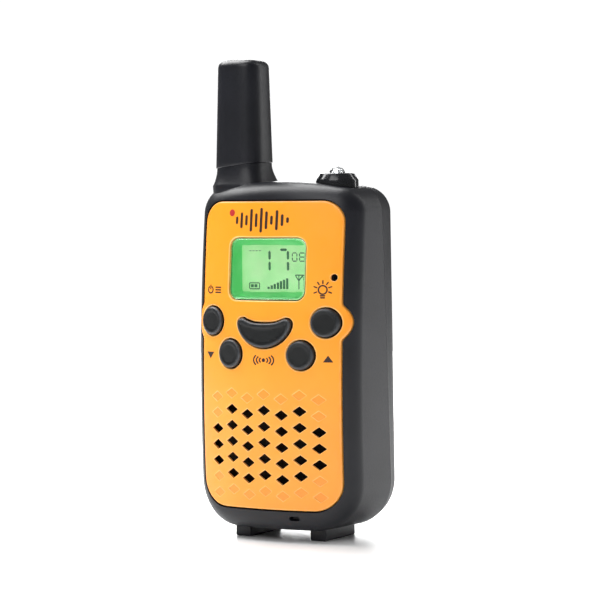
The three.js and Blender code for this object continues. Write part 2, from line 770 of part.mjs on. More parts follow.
function makeWindow() {
  return windowPane(seamDepth)
    .intersect(belowFace(windowRecess))
    .subtract(belowFace(windowRecess + windowThickness));
}

/** A frame whose opening narrows from the window down to the glass. */
function makeBezel() {
  const opening = loft([0, glassDepth].map((depth) => {
    const narrowing = 2 * (bezelWall + bezelSlope * (depth / glassDepth));
    const corner = Math.max(paneCorner - narrowing / 2, 0.5);
    const [width, height] = [paneWidth - narrowing, paneHeight - narrowing];
    const points = roundedRectangle(0, windowZ, width, height, corner).getPoints(3);
    return points.map((point) => new THREE.Vector3(point.x, depth, point.y));
  }));
  return windowPane(glassDepth - clearance)
    .intersect(belowFace(windowRecess + windowThickness + clearance))
    .subtract(opening);
}

function makeBoard() {
  const reach = innerHalfWidth - boardMargin;
  const [low, high] = [caseTop - boardBottomDrop, caseTop - boardTopDrop];
  const sheet = block(-reach, reach, boardDepth, boardDepth + boardThickness, low, high);
  const notches = screwPlaces.map(({ x, z }) => (
    barrel(x, z, bossDiameter + 2 * clearance, 0, farBack)
  ));
  return sheet.subtract(joined(notches)).subtract(microphoneRoom);
}

// ---------------------------------------------------------------- sound

const speakerRadius = speakerDiameter / 2;
const clothFront = innerFrontDepth + clearance;
const speakerFront = skinAt(speakerRadius, grilleZ) + clothFront + clothThickness + clearance;

function makeCloth() {
  const width = grilleSpan.width + 2 * clothMargin;
  const height = grilleSpan.height + 2 * clothMargin;
  const corner = soundCorner + clothMargin;
  return prism(roundedRectangle(0, grilleZ, width, height, corner), farFront, seamDepth)
    .intersect(belowFace(clothFront))
    .subtract(belowFace(clothFront + clothThickness));
}

function makeSpeakerFrame() {
  const neck = magnetDiameter / 2;
  const back = speakerFront + speakerDepth;
  return turned(0, grilleZ, [
    [speakerRadius - speakerRimWidth, speakerFront],
    [speakerRadius, speakerFront],
    [speakerRadius, speakerFront + speakerRimDepth],
    [speakerRadius - basketRim, speakerFront + speakerRimDepth],
    [neck, back],
    [neck - basketWall, back],
    [neck - basketWall, back - 1],
    [neck - basketWall / 3, back - 1],
    [speakerRadius - speakerRimWidth, speakerFront],
  ], false, 20);
}

function makeSpeakerCone() {
  const rim = speakerRadius - speakerRimWidth - coneGap;
  const roll = rim - rollWidth;
  const cap = speakerFront + dustCapDepth;
  const coneBack = cap + coneThickness;
  return turned(0, grilleZ, [
    [0, cap - dustCapRise],
    [dustCapRadius * 0.6, cap - dustCapRise * 0.65],
    [dustCapRadius, cap],
    [roll, speakerFront + rollDip],
    [rim, speakerFront],
    [rim, speakerFront + coneThickness],
    [roll, speakerFront + rollDip + coneThickness],
    [dustCapRadius, coneBack],
    [0, coneBack],
  ], false, 20);
}

const magnetFront = speakerFront + speakerDepth + clearance;
const microphoneFront = skinAt(soundHoleX + microphoneDiameter / 2, soundHoleZ) + clothFront;
const microphoneRoom = barrel(soundHoleX, soundHoleZ, microphoneDiameter + 2 * clearance,
  microphoneFront - clearance, boardDepth + boardThickness + 1);

// ---------------------------------------------------------------- antenna and torch

function makeAntennaCover() {
  const tip = caseTop + antennaHeight;
  const bend = tip - antennaTipRound;
  const roundSteps = [1, 2, 3].map((step) => {
    const angle = (Math.PI / 2) * (step / 3);
    return [
      antennaTipHalf - antennaTipRound * (1 - Math.cos(angle)),
      bend + antennaTipRound * Math.sin(angle),
    ];
  });
  const bore = post(-topRowX, topRowY, antennaBore, antennaBore, caseTop - 1, tip - antennaTipWall);
  return squirclePost([[antennaFootHalf, caseTop], [antennaTipHalf, bend], ...roundSteps])
    .intersect(besideSplit(true, clearance))
    .subtract(bore);
}

const plugFoot = caseTop + antennaSplitRise + 3 * clearance;
const nutTop = caseTop - nutDrop;

function makeAntennaPlug() {
  const plugDiameter = antennaBore - 2 * clearance;
  const stem = [plugStemDiameter, plugStemDiameter, nutTop - nutHeight - 1, plugFoot + 1];
  return post(-topRowX, topRowY, plugDiameter, plugDiameter, plugFoot, plugFoot + plugHeight)
    .add(post(-topRowX, topRowY, ...stem));
}

function makeAntennaNut() {
  const hole = plugStemDiameter + 2 * clearance;
  return post(-topRowX, topRowY, nutDiameter, nutDiameter, nutTop - nutHeight, nutTop)
    .subtract(post(-topRowX, topRowY, hole, hole, nutTop - nutHeight - 1, nutTop + 1));
}

const coilFoot = plugFoot + plugHeight + 1;
const coilLength = antennaHeight - antennaTipWall - (coilFoot - caseTop) - 2;
const torchRim = caseTop + torchTopRise;
const lensShoulder = torchRim - lensShoulderDrop;
const lensFoot = lensShoulder - lensSkirt;

function makeTorchBezel() {
  const bore = lensDiameter + 2 * clearance;
  const cone = [torchFootDiameter, torchTopDiameter, caseTop - torchSkirt, torchRim];
  const spigot = [torchSpigotDiameter, torchSpigotDiameter, torchRim - torchSpigotLength, torchRim];
  return post(topRowX, topRowY, ...cone)
    .subtract(outsideCase)
    .add(post(topRowX, topRowY, ...spigot))
    .subtract(post(topRowX, topRowY, bore, bore, caseTop - topCut, torchRim + 1));
}

function makeTorchLens() {
  const flange = lensDiameter / 2;
  const radius = lensDomeDiameter / 2;
  const domeSteps = 4;
  const dome = Array.from({ length: domeSteps }, (_, i) => {
    const angle = (Math.PI / 2) * (i / domeSteps);
    return [radius * Math.cos(angle), lensShoulder + radius * Math.sin(angle)];
  });
  const profile = [
    [0, lensFoot],
    [flange, lensFoot],
    [flange, lensShoulder],
    ...dome,
    [0, lensShoulder + radius],
  ];
  return turned(topRowX, topRowY, profile, true);
}

// ---------------------------------------------------------------- cells and contacts

const cellX = (i) => (i - (cellCount - 1) / 2) * cellPitch;
const springAtFoot = (i) => i % 2 === 0;
const endPlate = clearance + contactPlate + clearance;

/** A cell, its nipple away from its spring. */
function makeCell(i) {
  const low = bayLow + endPlate + (springAtFoot(i) ? springLength + clearance : 0);
  const high = low + cellLength;
  const [can, nipple] = [cellDiameter / 2, nippleDiameter / 2];
  const profile = springAtFoot(i)
    ? [[0, low], [can, low], [can, high - nippleHeight], [nipple, high - nippleHeight],
      [nipple, high], [0, high]]
    : [[0, low], [nipple, low], [nipple, low + nippleHeight], [can, low + nippleHeight],
      [can, high], [0, high]];
  return turned(cellX(i), cellY, profile, true, 14);
}

/** A cell's spring, wide at the contact plate and narrow at the cell. */
function makeCellSpring(i) {
  const up = springAtFoot(i) ? 1 : -1;
  const wireGap = springWire / 2;
  const plate = springAtFoot(i) ? bayLow + endPlate : bayHigh - endPlate;
  const start = new THREE.Vector3(cellX(i), cellY, plate + up * wireGap);
  const axis = new THREE.Vector3(0, 0, up);
  const radiusAt = (t) => springFootRadius - springTaper * t;
  return coil(start, axis, springLength - springWire, radiusAt, springWire, springTurns, 8, 4);
}

/** The contact plates in each end of the bay, by the cells that each one joins. */
const contactPlates = [
  { name: 'contact_plate_top_1', first: 0, last: 1, top: true },
  { name: 'contact_plate_top_2', first: 2, last: 3, top: true },
  { name: 'contact_plate_foot_1', first: 0, last: 0, top: false },
  { name: 'contact_plate_foot_2', first: 1, last: 2, top: false },
  { name: 'contact_plate_foot_3', first: 3, last: 3, top: false },
];

function makeContactPlate({ first, last, top }) {
  const half = contactWidth / 2;
  const low = top ? bayHigh - clearance - contactPlate : bayLow + clearance;
  return block(cellX(first) - half, cellX(last) + half, cellY - half, cellY + half,
    low, low + contactPlate);
}

// ---------------------------------------------------------------- screws and belt clip

function makeScrew({ x, z }) {
  const seat = seamAt(z) + screwSeat + clearance;
  return barrel(x, z, screwShaft, seat - screwLength, seat + 1, 8)
    .add(barrel(x, z, screwHead, seat, seat + screwHeadHeight, 12));
}

const clipHalf = clipWidth / 2;
const leverFront = pivotY + clipStand;
const leverBack = leverFront + clipThickness;
const leverTop = pivotZ + clipAbovePin;
const leverFoot = leverTop - clipLength;
const pinBore = pinDiameter + 2 * clearance;
const bracketBack = backAt(pivotZ) + bracketThickness;

function makeClipBracket() {
  const low = pivotZ - bracketHeight / 2;
  const high = pivotZ + bracketHeight / 2;
  const base = block(-clipHalf, clipHalf, backAt(pivotZ), bracketBack, low, high);
  const lugs = [-clipHalf, clipHalf - lugThickness].flatMap((left) => [
    block(left, left + lugThickness, backAt(pivotZ), pivotY, pivotZ - lugRadius, pivotZ + lugRadius),
    axle(pivotY, pivotZ, 2 * lugRadius, left, left + lugThickness),
  ]);
  return base.add(joined(lugs)).subtract(axle(pivotY, pivotZ, pinBore, -clipWidth, clipWidth));
}

function makeBeltClip() {
  const lever = block(-clipHalf, clipHalf, leverFront, leverBack, leverFoot, leverTop);
  const jaw = block(1 - clipHalf, clipHalf - 1, backAt(leverFoot) + clearance, leverFront + 1,
    leverFoot, leverFoot + jawThickness);
  const hubEnd = clipHalf - lugThickness - clearance;
  const hubs = [-hubEnd, hubEnd - hubLength].flatMap((left) => [
    axle(pivotY, pivotZ, 2 * clipHub, left, left + hubLength),
    block(left, left + hubLength, pivotY, leverFront + 1, pivotZ - clipHub, pivotZ + clipHub),
  ]);
  return joined([lever, jaw, ...hubs])
    .subtract(axle(pivotY, pivotZ, pinBore, -clipWidth, clipWidth));
}

function makeClipSpring() {
  const reach = clipHalf - lugThickness - 3 * clearance - hubLength - clipSpringWire;
  const radius = (clipSpringDiameter - clipSpringWire) / 2;
  const start = new THREE.Vector3(-reach, pivotY, pivotZ);
  const axis = new THREE.Vector3(1, 0, 0);
  return coil(start, axis, 2 * reach, () => radius, clipSpringWire, clipSpringTurns, 8, 4);
}

// ---------------------------------------------------------------- the assembly

const finishes = {
  caseBlack: { color: '#2b2c30', roughness: 0.55, metalness: 0 },
  plateOrange: { color: '#fdb03a', roughness: 0.4, metalness: 0 },
  buttonBlack: { color: '#222527', roughness: 0.6, metalness: 0 },
  bezelBlack: { color: '#17181a', roughness: 0.25, metalness: 0 },
  clear: { color: '#e8f4ec', roughness: 0.05, metalness: 0 },
  displayGreen: { color: '#5fd07f', roughness: 0.3, metalness: 0 },
  screenGreen: { color: '#b5efb5', roughness: 0.2, metalness: 0 },
  boardGreen: { color: '#1f6b3a', roughness: 0.5, metalness: 0 },
  siliconeGrey: { color: '#8d9093', roughness: 0.7, metalness: 0 },
  carbon: { color: '#16171a', roughness: 0.8, metalness: 0 },
  steel: { color: '#b9bcc0', roughness: 0.3, metalness: 1 },
  copper: { color: '#b87748', roughness: 0.35, metalness: 1 },
  paper: { color: '#3a3836', roughness: 0.9, metalness: 0 },
  cloth: { color: '#141416', roughness: 1, metalness: 0 },
  cellWrap: { color: '#3f7f4f', roughness: 0.35, metalness: 0 },
};

const unit = new THREE.Group();

function place(name, finish, made) {
  const mesh = new THREE.Mesh(geometryOf(made), new THREE.MeshStandardMaterial(finishes[finish]));
  mesh.name = name;
  unit.add(mesh);
}

place('front_shell', 'caseBlack', makeFrontShell());
place('rear_shell', 'caseBlack', makeRearShell());
place('face_plate', 'plateOrange', makeFacePlate());
place('battery_door', 'caseBlack', makeBatteryDoor());
for (const screw of screwPlaces) place(screw.name, 'steel', makeScrew(screw));

place('lcd_window', 'clear', makeWindow());
place('lcd_bezel', 'displayGreen', makeBezel());
place('lcd_glass', 'screenGreen', block(-glassHalfWidth, glassHalfWidth, glassDepth,
  glassDepth + glassThickness, glassLow, glassHigh));
place('lcd_backlight', 'displayGreen', block(-glassHalfWidth, glassHalfWidth, lightFront,
  lightBack, glassLow + connectorHeight + clearance, glassHigh));
place('lcd_connector', 'siliconeGrey', block(-glassHalfWidth, glassHalfWidth, lightFront,
  lightBack, glassLow, glassLow + connectorHeight));
place('circuit_board', 'boardGreen', makeBoard());
place('keypad_membrane', 'siliconeGrey', makeMembrane());
for (const button of roundButtons) {
  place(button.name + '_button', 'buttonBlack', makeRoundButton(button));
}
place('talk_button', 'buttonBlack', makeTalkButton());
for (const { name, x, z } of contactPlaces) {
  const pill = barrel(x, z, stemDiameter, contactBack - contactThickness, contactBack, 12);
  place(name + '_contact', 'carbon', pill);
}

place('speaker_cloth', 'cloth', makeCloth());
place('speaker_frame', 'steel', makeSpeakerFrame());
place('speaker_cone', 'paper', makeSpeakerCone());
place('speaker_magnet', 'steel', barrel(0, grilleZ, magnetDiameter, magnetFront,
  magnetFront + magnetDepth, 20));
place('microphone', 'steel', barrel(soundHoleX, soundHoleZ, microphoneDiameter,
  microphoneFront, microphoneFront + microphoneDepth, 16));

place('antenna_cover', 'caseBlack', makeAntennaCover());
place('antenna_plug', 'bezelBlack', makeAntennaPlug());
place('antenna_nut', 'steel', makeAntennaNut());
place('antenna_coil', 'copper', coil(new THREE.Vector3(-topRowX, topRowY, coilFoot),
  new THREE.Vector3(0, 0, 1), coilLength, () => coilDiameter / 2, coilWire, coilTurns, 8, 4));
place('torch_bezel', 'bezelBlack', makeTorchBezel());
place('torch_lens', 'clear', makeTorchLens());
place('torch_led', 'clear', post(topRowX, topRowY, ledDiameter, ledDiameter,
  lensFoot - clearance - ledHeight, lensFoot - clearance, 16));

for (let i = 0; i < cellCount; i += 1) {
  place(`battery_${i + 1}`, 'cellWrap', makeCell(i));
  place(`battery_spring_${i + 1}`, 'steel', makeCellSpring(i));
}
for (const plate of contactPlates) place(plate.name, 'steel', makeContactPlate(plate));

place('clip_bracket', 'caseBlack', makeClipBracket());
place('belt_clip', 'caseBlack', makeBeltClip());
place('clip_pin', 'steel', axle(pivotY, pivotZ, pinDiameter, -clipHalf, clipHalf, 16));
place('clip_spring', 'steel', makeClipSpring());

const box = new THREE.Box3().setFromObject(unit);
unit.position.y = -(box.min.y + box.max.y) / 2;

const walkieTalkie = new THREE.Group();
walkieTalkie.add(unit);

export default walkieTalkie;
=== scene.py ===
"""The looks of a toy walkie talkie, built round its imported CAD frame.

Every helper works in millimetres in the frame that the case was drawn in: X to the right, Y back
from the foremost line of the face, Z up from the soles of the feet. piece() turns a finished mesh
to metres and puts it where the frame has it.
"""

import json
import math

import bmesh
import bpy
from mathutils import Matrix, Vector


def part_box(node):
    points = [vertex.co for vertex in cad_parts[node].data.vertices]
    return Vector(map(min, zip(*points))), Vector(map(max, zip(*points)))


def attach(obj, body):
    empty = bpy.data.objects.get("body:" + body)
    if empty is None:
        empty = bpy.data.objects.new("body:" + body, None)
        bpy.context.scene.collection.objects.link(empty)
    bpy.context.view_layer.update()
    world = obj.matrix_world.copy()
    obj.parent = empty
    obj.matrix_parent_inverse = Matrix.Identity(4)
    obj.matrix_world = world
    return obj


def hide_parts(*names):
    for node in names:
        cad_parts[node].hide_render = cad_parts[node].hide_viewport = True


MM = 0.001

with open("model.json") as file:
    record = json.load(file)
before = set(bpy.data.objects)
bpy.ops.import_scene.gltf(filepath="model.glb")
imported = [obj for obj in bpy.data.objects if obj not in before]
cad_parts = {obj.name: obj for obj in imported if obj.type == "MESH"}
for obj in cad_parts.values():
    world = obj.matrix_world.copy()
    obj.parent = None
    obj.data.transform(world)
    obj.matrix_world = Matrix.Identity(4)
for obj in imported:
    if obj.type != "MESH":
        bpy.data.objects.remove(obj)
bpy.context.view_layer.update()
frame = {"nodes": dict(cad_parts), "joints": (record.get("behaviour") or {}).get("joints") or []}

# ---------------------------- sizes of the case, in mm

FACE_TO_HINGE = 39.431  # from the foremost line of the face back to the clip's pivot
FACE_RADIUS = 65.0  # of the face's bow from side to side; the next is from foot to top
FACE_RISE_RADIUS = 486.0
FACE_APEX = 38.5  # above the foot of the case
FRONT_EDGE = 5.0
BACK_EDGE = 8.5
FRONT_DRAFT = 0.5
BACK_DRAFT = 0.3
SHOULDER = 8.0
HEEL = 14.5
CROWN = 122.0
CASE_DEPTH = 36.0
BACK_LEAN = 0.02
SEAM_DEPTH = 25.3
SEAM_LEAN = math.radians(3)
SEAM_GAP = 0.08
WALL = 2.2
PLATE_TOP_GAP = 6.2
PLATE_FOOT_GAP = 6.8
PLATE_THICKNESS = 1.8
GROOVE = 0.4
EAR_FILLET = 1.6
EAR_INSET = 4.3  # from the middle of an ear out to the plate's straight side
KEY_RADIUS = 4.2
INNER_DEPTH = 4.1  # from the face to the inside of the front wall
PROUD = 1.09  # how far the keys stand out of the face
FLANGE_RIM = 1.1  # how far a key's flange reaches past its top
GAP = 0.3
MICROPHONE_HOLE = 1.05

FAR = 40.0
WEAR_AND_HIGHLIGHT_FROM, WEAR_AND_HIGHLIGHT_SPAN = 9, 22  # folds, in degrees, where the pale rim (wear and a painted highlight) starts and over which it grows
FIXED = 1000.0  # added to a depth that is measured from the case's front, not from the face


def mm_box(node):
    """A CAD node's lowest and highest corners, in the frame the helpers use."""
    low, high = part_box(node)
    shift = Vector((0, face_y, 0))
    return low / MM - shift, high / MM - shift


hinge = next(j for j in frame["joints"] if j["name"] == "belt_clip_hinge")
face_y = hinge["pos_m"][1] / MM - FACE_TO_HINGE
pivot_y = FACE_TO_HINGE
pivot_z = hinge["pos_m"][2] / MM

plate_low, plate_high = mm_box("face_plate")
HALF = mm_box("front_shell")[1].x
TOP = plate_high.z + PLATE_TOP_GAP
FOOT = plate_low.z - PLATE_FOOT_GAP
MIDDLE = (TOP + FOOT) / 2
CROWN_CENTRE = TOP - CROWN


def centre_of(node):
    low, high = mm_box(node)
    return (low + high) / 2


# ---------------------------- curved surfaces of the case


def face_at(x, z):
    """Depth of the curved face."""
    across = FACE_RADIUS - math.sqrt(FACE_RADIUS**2 - x * x)
    return across + (z - FOOT - FACE_APEX) ** 2 / (2 * FACE_RISE_RADIUS)


def inset_of(x, z):
    """How far a place lies inside the case's outline."""
    x = abs(x)
    heel_x, heel_z = HALF - HEEL, FOOT + HEEL
    if z < heel_z and x > heel_x:
        return HEEL - math.hypot(x - heel_x, heel_z - z)
    turn_x = HALF - SHOULDER
    turn_z = CROWN_CENTRE + math.sqrt((CROWN - SHOULDER) ** 2 - turn_x**2)
    if x > turn_x and z > turn_z:
        return SHOULDER - math.hypot(x - turn_x, z - turn_z)
    return min(HALF - x, z - FOOT, CROWN - math.hypot(x, z - CROWN_CENTRE))


def rounded(x, z, draft, radius):
    """How far a rounded edge has fallen away from the face that it rounds."""
    over = min(max(draft + radius - inset_of(x, z), 0), radius * 0.999)
    return radius - math.sqrt(radius**2 - over**2)


def skin_at(x, z):
    return face_at(x, z) + rounded(x, z, FRONT_DRAFT, FRONT_EDGE)


def back_at(z):
    return CASE_DEPTH - BACK_LEAN * (z - MIDDLE)


def back_skin(x, z):
    return back_at(z) - rounded(x, z, BACK_DRAFT, BACK_EDGE)


def seam_at(z):
    return SEAM_DEPTH - math.tan(SEAM_LEAN) * (z - MIDDLE)


# ---------------------------- outlines, as (x, z) points


def arc(x, z, radius, start, end, steps, last=0, high=None):
    """Points on a round stretch, angles in degrees. Its end is left out unless last is 1, and high
    makes it oval."""
    angles = [math.radians(start + (end - start) * i / steps) for i in range(steps + last)]
    return [(x + radius * math.cos(a), z + (high or radius) * math.sin(a)) for a in angles]


def line(a, b, steps):
    """Points on a straight stretch, its end left out."""
    return [(a[0] + (b[0] - a[0]) * i / steps, a[1] + (b[1] - a[1]) * i / steps) for i in range(steps)]


def mirrored(right_half):
    """A closed outline from its right half, which starts and ends on the middle line."""
    return right_half + [(-x, z) for x, z in reversed(right_half[1:-1])]


def upright(points, y):
    """An outline's points at a depth."""
    return [(x, y, z) for x, z in points]


def case_outline(inset):
    heel, shoulder = max(HEEL - inset, 0.5), max(SHOULDER - inset, 0.5)
    right, low, crown = HALF - inset, FOOT + inset, CROWN - inset
    turn = CROWN_CENTRE + math.sqrt((crown - shoulder) ** 2 - (right - shoulder) ** 2)
    lean = math.degrees(math.atan2(turn - CROWN_CENTRE, right - shoulder))
    return mirrored(
        line((0, low), (right - heel, low), 8)
        + arc(right - heel, low + heel, heel, -90, 0, 16)
        + line((right, low + heel), (right, turn), 24)
        + arc(right - shoulder, turn, shoulder, 0, lean, 14)
        + arc(0, CROWN_CENTRE, crown, lean, 90, 14)
        + [(0, TOP - inset)]
    )


def plate_outline(margin):
    """The plate with its two ears, grown all round by a margin."""
    half, low, high = plate_half + margin, plate_low.z - margin, plate_high.z + margin
    top, foot = 6.5 + margin, 8.5 + margin
    ear, fillet = ear_radius + margin, EAR_FILLET - margin
    reach, across = ear + fillet, half + fillet - ear_x
    rise = math.sqrt(reach**2 - across**2)
    swing = math.degrees(math.atan2(rise, across))
    below = arc(half + fillet, ear_z - rise, fillet, 180, 180 - swing, 6)
    above = arc(half + fillet, ear_z + rise, fillet, 180 + swing, 180, 6)
    return mirrored(
        line((0, low), (half - foot, low), 8)
        + arc(half - foot, low + foot, foot, -90, 0, 14)
        + line((half, low + foot), (half, ear_z - rise), 12)
        + below
        + arc(ear_x, ear_z, ear, -swing, swing, 28)
        + above
        + line((half, ear_z + rise), (half, high - top), 8)
        + arc(half - top, high - top, top, 0, 90, 14)
        + line((half - top, high), (0, high), 10)
        + [(0, high)]
    )


def circle(x, z, radius, steps=64):
    return lambda margin: arc(x, z, radius + margin, 0, 360, steps)


def rectangle(x, z, width, height, corner, steps=8, sides=4):
    """A rectangle with rounded corners."""

    def points(margin):
        right, top, r = width / 2 + margin, height / 2 + margin, max(corner + margin, 0.1)
        a, b = right - r, top - r
        return (
            arc(x + a, z - b, r, -90, 0, steps)
            + line((x + right, z - b), (x + right, z + b), sides)
            + arc(x + a, z + b, r, 0, 90, steps)
            + line((x + a, z + top), (x - a, z + top), sides)
            + arc(x - a, z + b, r, 90, 180, steps)
            + line((x - right, z + b), (x - right, z - b), sides)
            + arc(x - a, z - b, r, 180, 270, steps)
            + line((x - a, z - top), (x + a, z - top), sides)
        )

    return points


def rhombus(x, z, width, height, corner=0.22):
    """A diamond whose points are slightly rounded."""
    lean = math.degrees(math.atan2(height, width))
    side = math.hypot(width, height) / 2

    def points(margin):
        grown = (width * height / 4 / side + margin - corner) / (width * height / 4 / side)
        a, b = width / 2 * grown, height / 2 * grown
        return (
            arc(x + a, z, corner, lean - 90, 90 - lean, 4)
            + arc(x, z + b, corner, 90 - lean, 90 + lean, 4)
            + arc(x - a, z, corner, 90 + lean, 270 - lean, 4)
            + arc(x, z - b, corner, 270 - lean, 270 + lean, 4)
        )

    return points


def bent(points, steps):
    """Points on a cubic curve with four control points, its end left out."""
    made = []
    for i in range(steps):
        t = i / steps
        weights = ((1 - t) ** 3, 3 * t * (1 - t) ** 2, 3 * t * t * (1 - t), t**3)
        made.append(tuple(sum(w * p[k] for w, p in zip(weights, points)) for k in (0, 1)))
    return made


def talk_outline(margin):
    """The talk button: a crescent with round horns."""
    high, low, reach = talk_high + margin, talk_low - margin, talk_half + margin
    horn, dip = 1.5 + margin, high - 1.4
    near, far = reach - 1.4 * horn, high - horn
    mid = (high + low) / 2
    right = (
        bent([(0, low), (reach * 0.6, low), (reach, mid), (reach, far)], 26)
        + bent([(reach, far), (reach, far + horn * 0.6), (reach - 0.5 * horn, high), (near, high)], 8)
        + bent([(near, high), (near * 0.6, dip), (near * 0.35, dip), (0, dip)], 14)
        + [(0, dip)]
    )
    return mirrored(right)


# ---------------------------- mesh tools


def start_ring(bm, points):
    """A closed loop of edges through the points."""
    ring = [bm.verts.new(p) for p in points]
    for a, b in zip(ring, ring[1:] + ring[:1]):
        bm.edges.new((a, b))
    return ring


def ring_edges(bm, ring):
    return [bm.edges.get(pair) for pair in zip(ring, ring[1:] + ring[:1])]


def next_ring(bm, ring, points):
    """Extrudes a loop and puts the new one through the points."""
    order = {v: i for i, v in enumerate(ring)}
    made = bmesh.ops.extrude_edge_only(bm, edges=ring_edges(bm, ring))["geom"]
    grown = list(ring)
    for v in (g for g in made if isinstance(g, bmesh.types.BMVert)):
        old = next(o for o in (e.other_vert(v) for e in v.link_edges) if o in order)
        grown[order[old]] = v
    for v, p in zip(grown, points):
        v.co = p
    return grown


def cap(bm, rings, normal=(0, -1, 0)):
    """Fills the area between an outer loop and any loops inside it."""
    edges = [e for ring in rings for e in ring_edges(bm, ring)]
    made = bmesh.ops.triangle_fill(bm, use_beauty=True, edges=edges, normal=normal)["geom"]
    return [g for g in made if isinstance(g, bmesh.types.BMFace)]


def slice_up(bm, axis, step, faces=None):
    """Cuts the mesh, or some of its faces, by planes a step apart, so that it can be bent."""
    values = [v.co[axis] for v in bm.verts]
    low, high = min(values), max(values)
    count = max(int((high - low) / step), 1)
    normal = Vector((axis == 0, axis == 1, axis == 2))
    geom = list(bm.faces if faces is None else faces)
    for i in range(1, count):
        every = set(geom)
        for f in geom:
            every.update(f.edges)
            every.update(f.verts)
        cut = bmesh.ops.bisect_plane(
            bm, geom=list(every), plane_co=normal * (low + (high - low) * i / count), plane_no=normal
        )
        geom = [g for g in cut["geom"] if isinstance(g, bmesh.types.BMFace)]
    return geom


def sheet(outer, holes=(), blind=(), surface=skin_at, inwards=1, step=(1.1, 3.0)):
    """A panel that follows a curved surface. Each outline comes with its profile, a list of
    (margin, depth) from its back to its front. A blind recess starts at its floor."""
    bm = bmesh.new()
    # marks the floors of blind recesses, which the plate's material darkens as painted shade
    recess = bm.verts.layers.float.new("recess")
    backs, fronts = [], []
    for outline, profile, has_floor in [(o, p, False) for o, p in (outer, *holes)] + [
        (o, p, True) for o, p in blind
    ]:
        margin, depth = profile[0]
        ring = start_ring(bm, upright(outline(margin), depth))
        if has_floor:
            for v in ring:
                v[recess] = 1
            cap(bm, [ring])
        else:
            backs.append(ring)
        for margin, depth in profile[1:]:
            ring = next_ring(bm, ring, upright(outline(margin), depth))
            for v in ring:
                v[recess] = 0
        fronts.append(ring)
    cap(bm, fronts)
    cap(bm, backs)
    slice_up(bm, 0, step[0])
    slice_up(bm, 2, step[1])
    for v in bm.verts:
        x, depth, z = v.co
        v.co.y = depth - FIXED if depth > FIXED / 2 else surface(x, z) + inwards * depth
    return closed(bm)


def closed(bm):
    bmesh.ops.remove_doubles(bm, verts=bm.verts, dist=1e-4)
    bmesh.ops.recalc_face_normals(bm, faces=bm.faces)
    return bm


def stack(rings, normal=(0, 0, 1)):
    """A closed solid whose skin runs through rings of points, its ends filled."""
    bm = bmesh.new()
    ring = start_ring(bm, rings[0])
    cap(bm, [ring], normal)
    for points in rings[1:]:
        ring = next_ring(bm, ring, points)
    cap(bm, [ring], normal)
    return closed(bm)


def lathe(x, y, profile, steps=64):
    """An upright turned solid through (radius, z) pairs."""
    around = lambda r, z: [(a, b, z) for a, b in arc(x, y, r, 0, 360, steps)]
    return stack([around(r, z) for r, z in profile])


def barrel(x, z, profile, steps=48):
    """A turned solid whose axis runs front to back, through (radius, y) pairs."""
    around = lambda r, y: [(a, y, b) for a, b in arc(x, z, r, 0, 360, steps)]
    return stack([around(r, y) for r, y in profile], (0, -1, 0))


def axle(y, z, profile, steps=32):
    """A turned solid whose axis runs across, through (radius, x) pairs."""
    around = lambda r, x: [(x, a, b) for a, b in arc(y, z, r, 0, 360, steps)]
    return stack([around(r, x) for r, x in profile], (1, 0, 0))


def round_edges(bm, edges, radius, segments):
    bmesh.ops.bevel(
        bm, geom=edges, offset=radius, offset_type="OFFSET", segments=segments, profile=0.5,
        affect="EDGES", material=-1, clamp_overlap=True,
    )


def brick(low, high, bevel=0.0, segments=3):
    """A block between two corners, with its edges rounded."""
    bm = bmesh.new()
    bmesh.ops.create_cube(bm, size=1)
    size = Vector(high) - Vector(low)
    bmesh.ops.scale(bm, vec=size, verts=bm.verts)
    bmesh.ops.translate(bm, vec=Vector(low) + size / 2, verts=bm.verts)
    if bevel:
        round_edges(bm, bm.edges[:], bevel, segments)
    return closed(bm)


def prism(outline, front, back, margin=0.0):
    """An outline carried straight back."""
    return stack([upright(outline(margin), y) for y in (front, back)], (0, -1, 0))


def shown(name, data):
    """A new object in the scene."""
    made = bpy.data.objects.new(name, data)
    bpy.context.scene.collection.objects.link(made)
    return made


def as_object(bm, name="part"):
    mesh = bpy.data.meshes.new(name)
    bm.to_mesh(mesh)
    return shown(name, mesh)


def combine(bm, tools, how):
    """The union, difference or overlap of a solid and one or more others."""
    for tool in tools:
        pair = [as_object(bm), as_object(tool)]
        cut = pair[0].modifiers.new("cut", "BOOLEAN")
        cut.operation, cut.object, cut.solver = how, pair[1], "MANIFOLD"
        graph = bpy.context.evaluated_depsgraph_get()
        mesh = bpy.data.meshes.new_from_object(pair[0].evaluated_get(graph))
        if len(mesh.polygons) == 0:
            raise RuntimeError(f"{how} left nothing")
        bm.free()
        bm = bmesh.new()
        bm.from_mesh(mesh)
        bpy.data.meshes.remove(mesh)
        for each in pair:
            data = each.data
            bpy.data.objects.remove(each)
            bpy.data.meshes.remove(data)
    return bm


def joined(parts):
    """Several closed solids that don't touch, in one mesh."""
    bm = bmesh.new()
    for part in parts:
        mesh = bpy.data.meshes.new("part")
        part.to_mesh(mesh)
        bm.from_mesh(mesh)
        bpy.data.meshes.remove(mesh)
    return bm


def mark_wear_and_highlight(bm):
    """Stores how sharply the surface folds outwards at each point, for edges painted pale: wear and a
    painted highlight.
    """
    wear_and_highlight = bm.verts.layers.float.new("wear_and_highlight")
    for v in bm.verts:
        folds = [e.calc_face_angle_signed(0) for e in v.link_edges if e.is_manifold]
        fold = math.degrees(max(folds, default=0))
        v[wear_and_highlight] = min(max((fold - WEAR_AND_HIGHLIGHT_FROM) / WEAR_AND_HIGHLIGHT_SPAN, 0), 1)


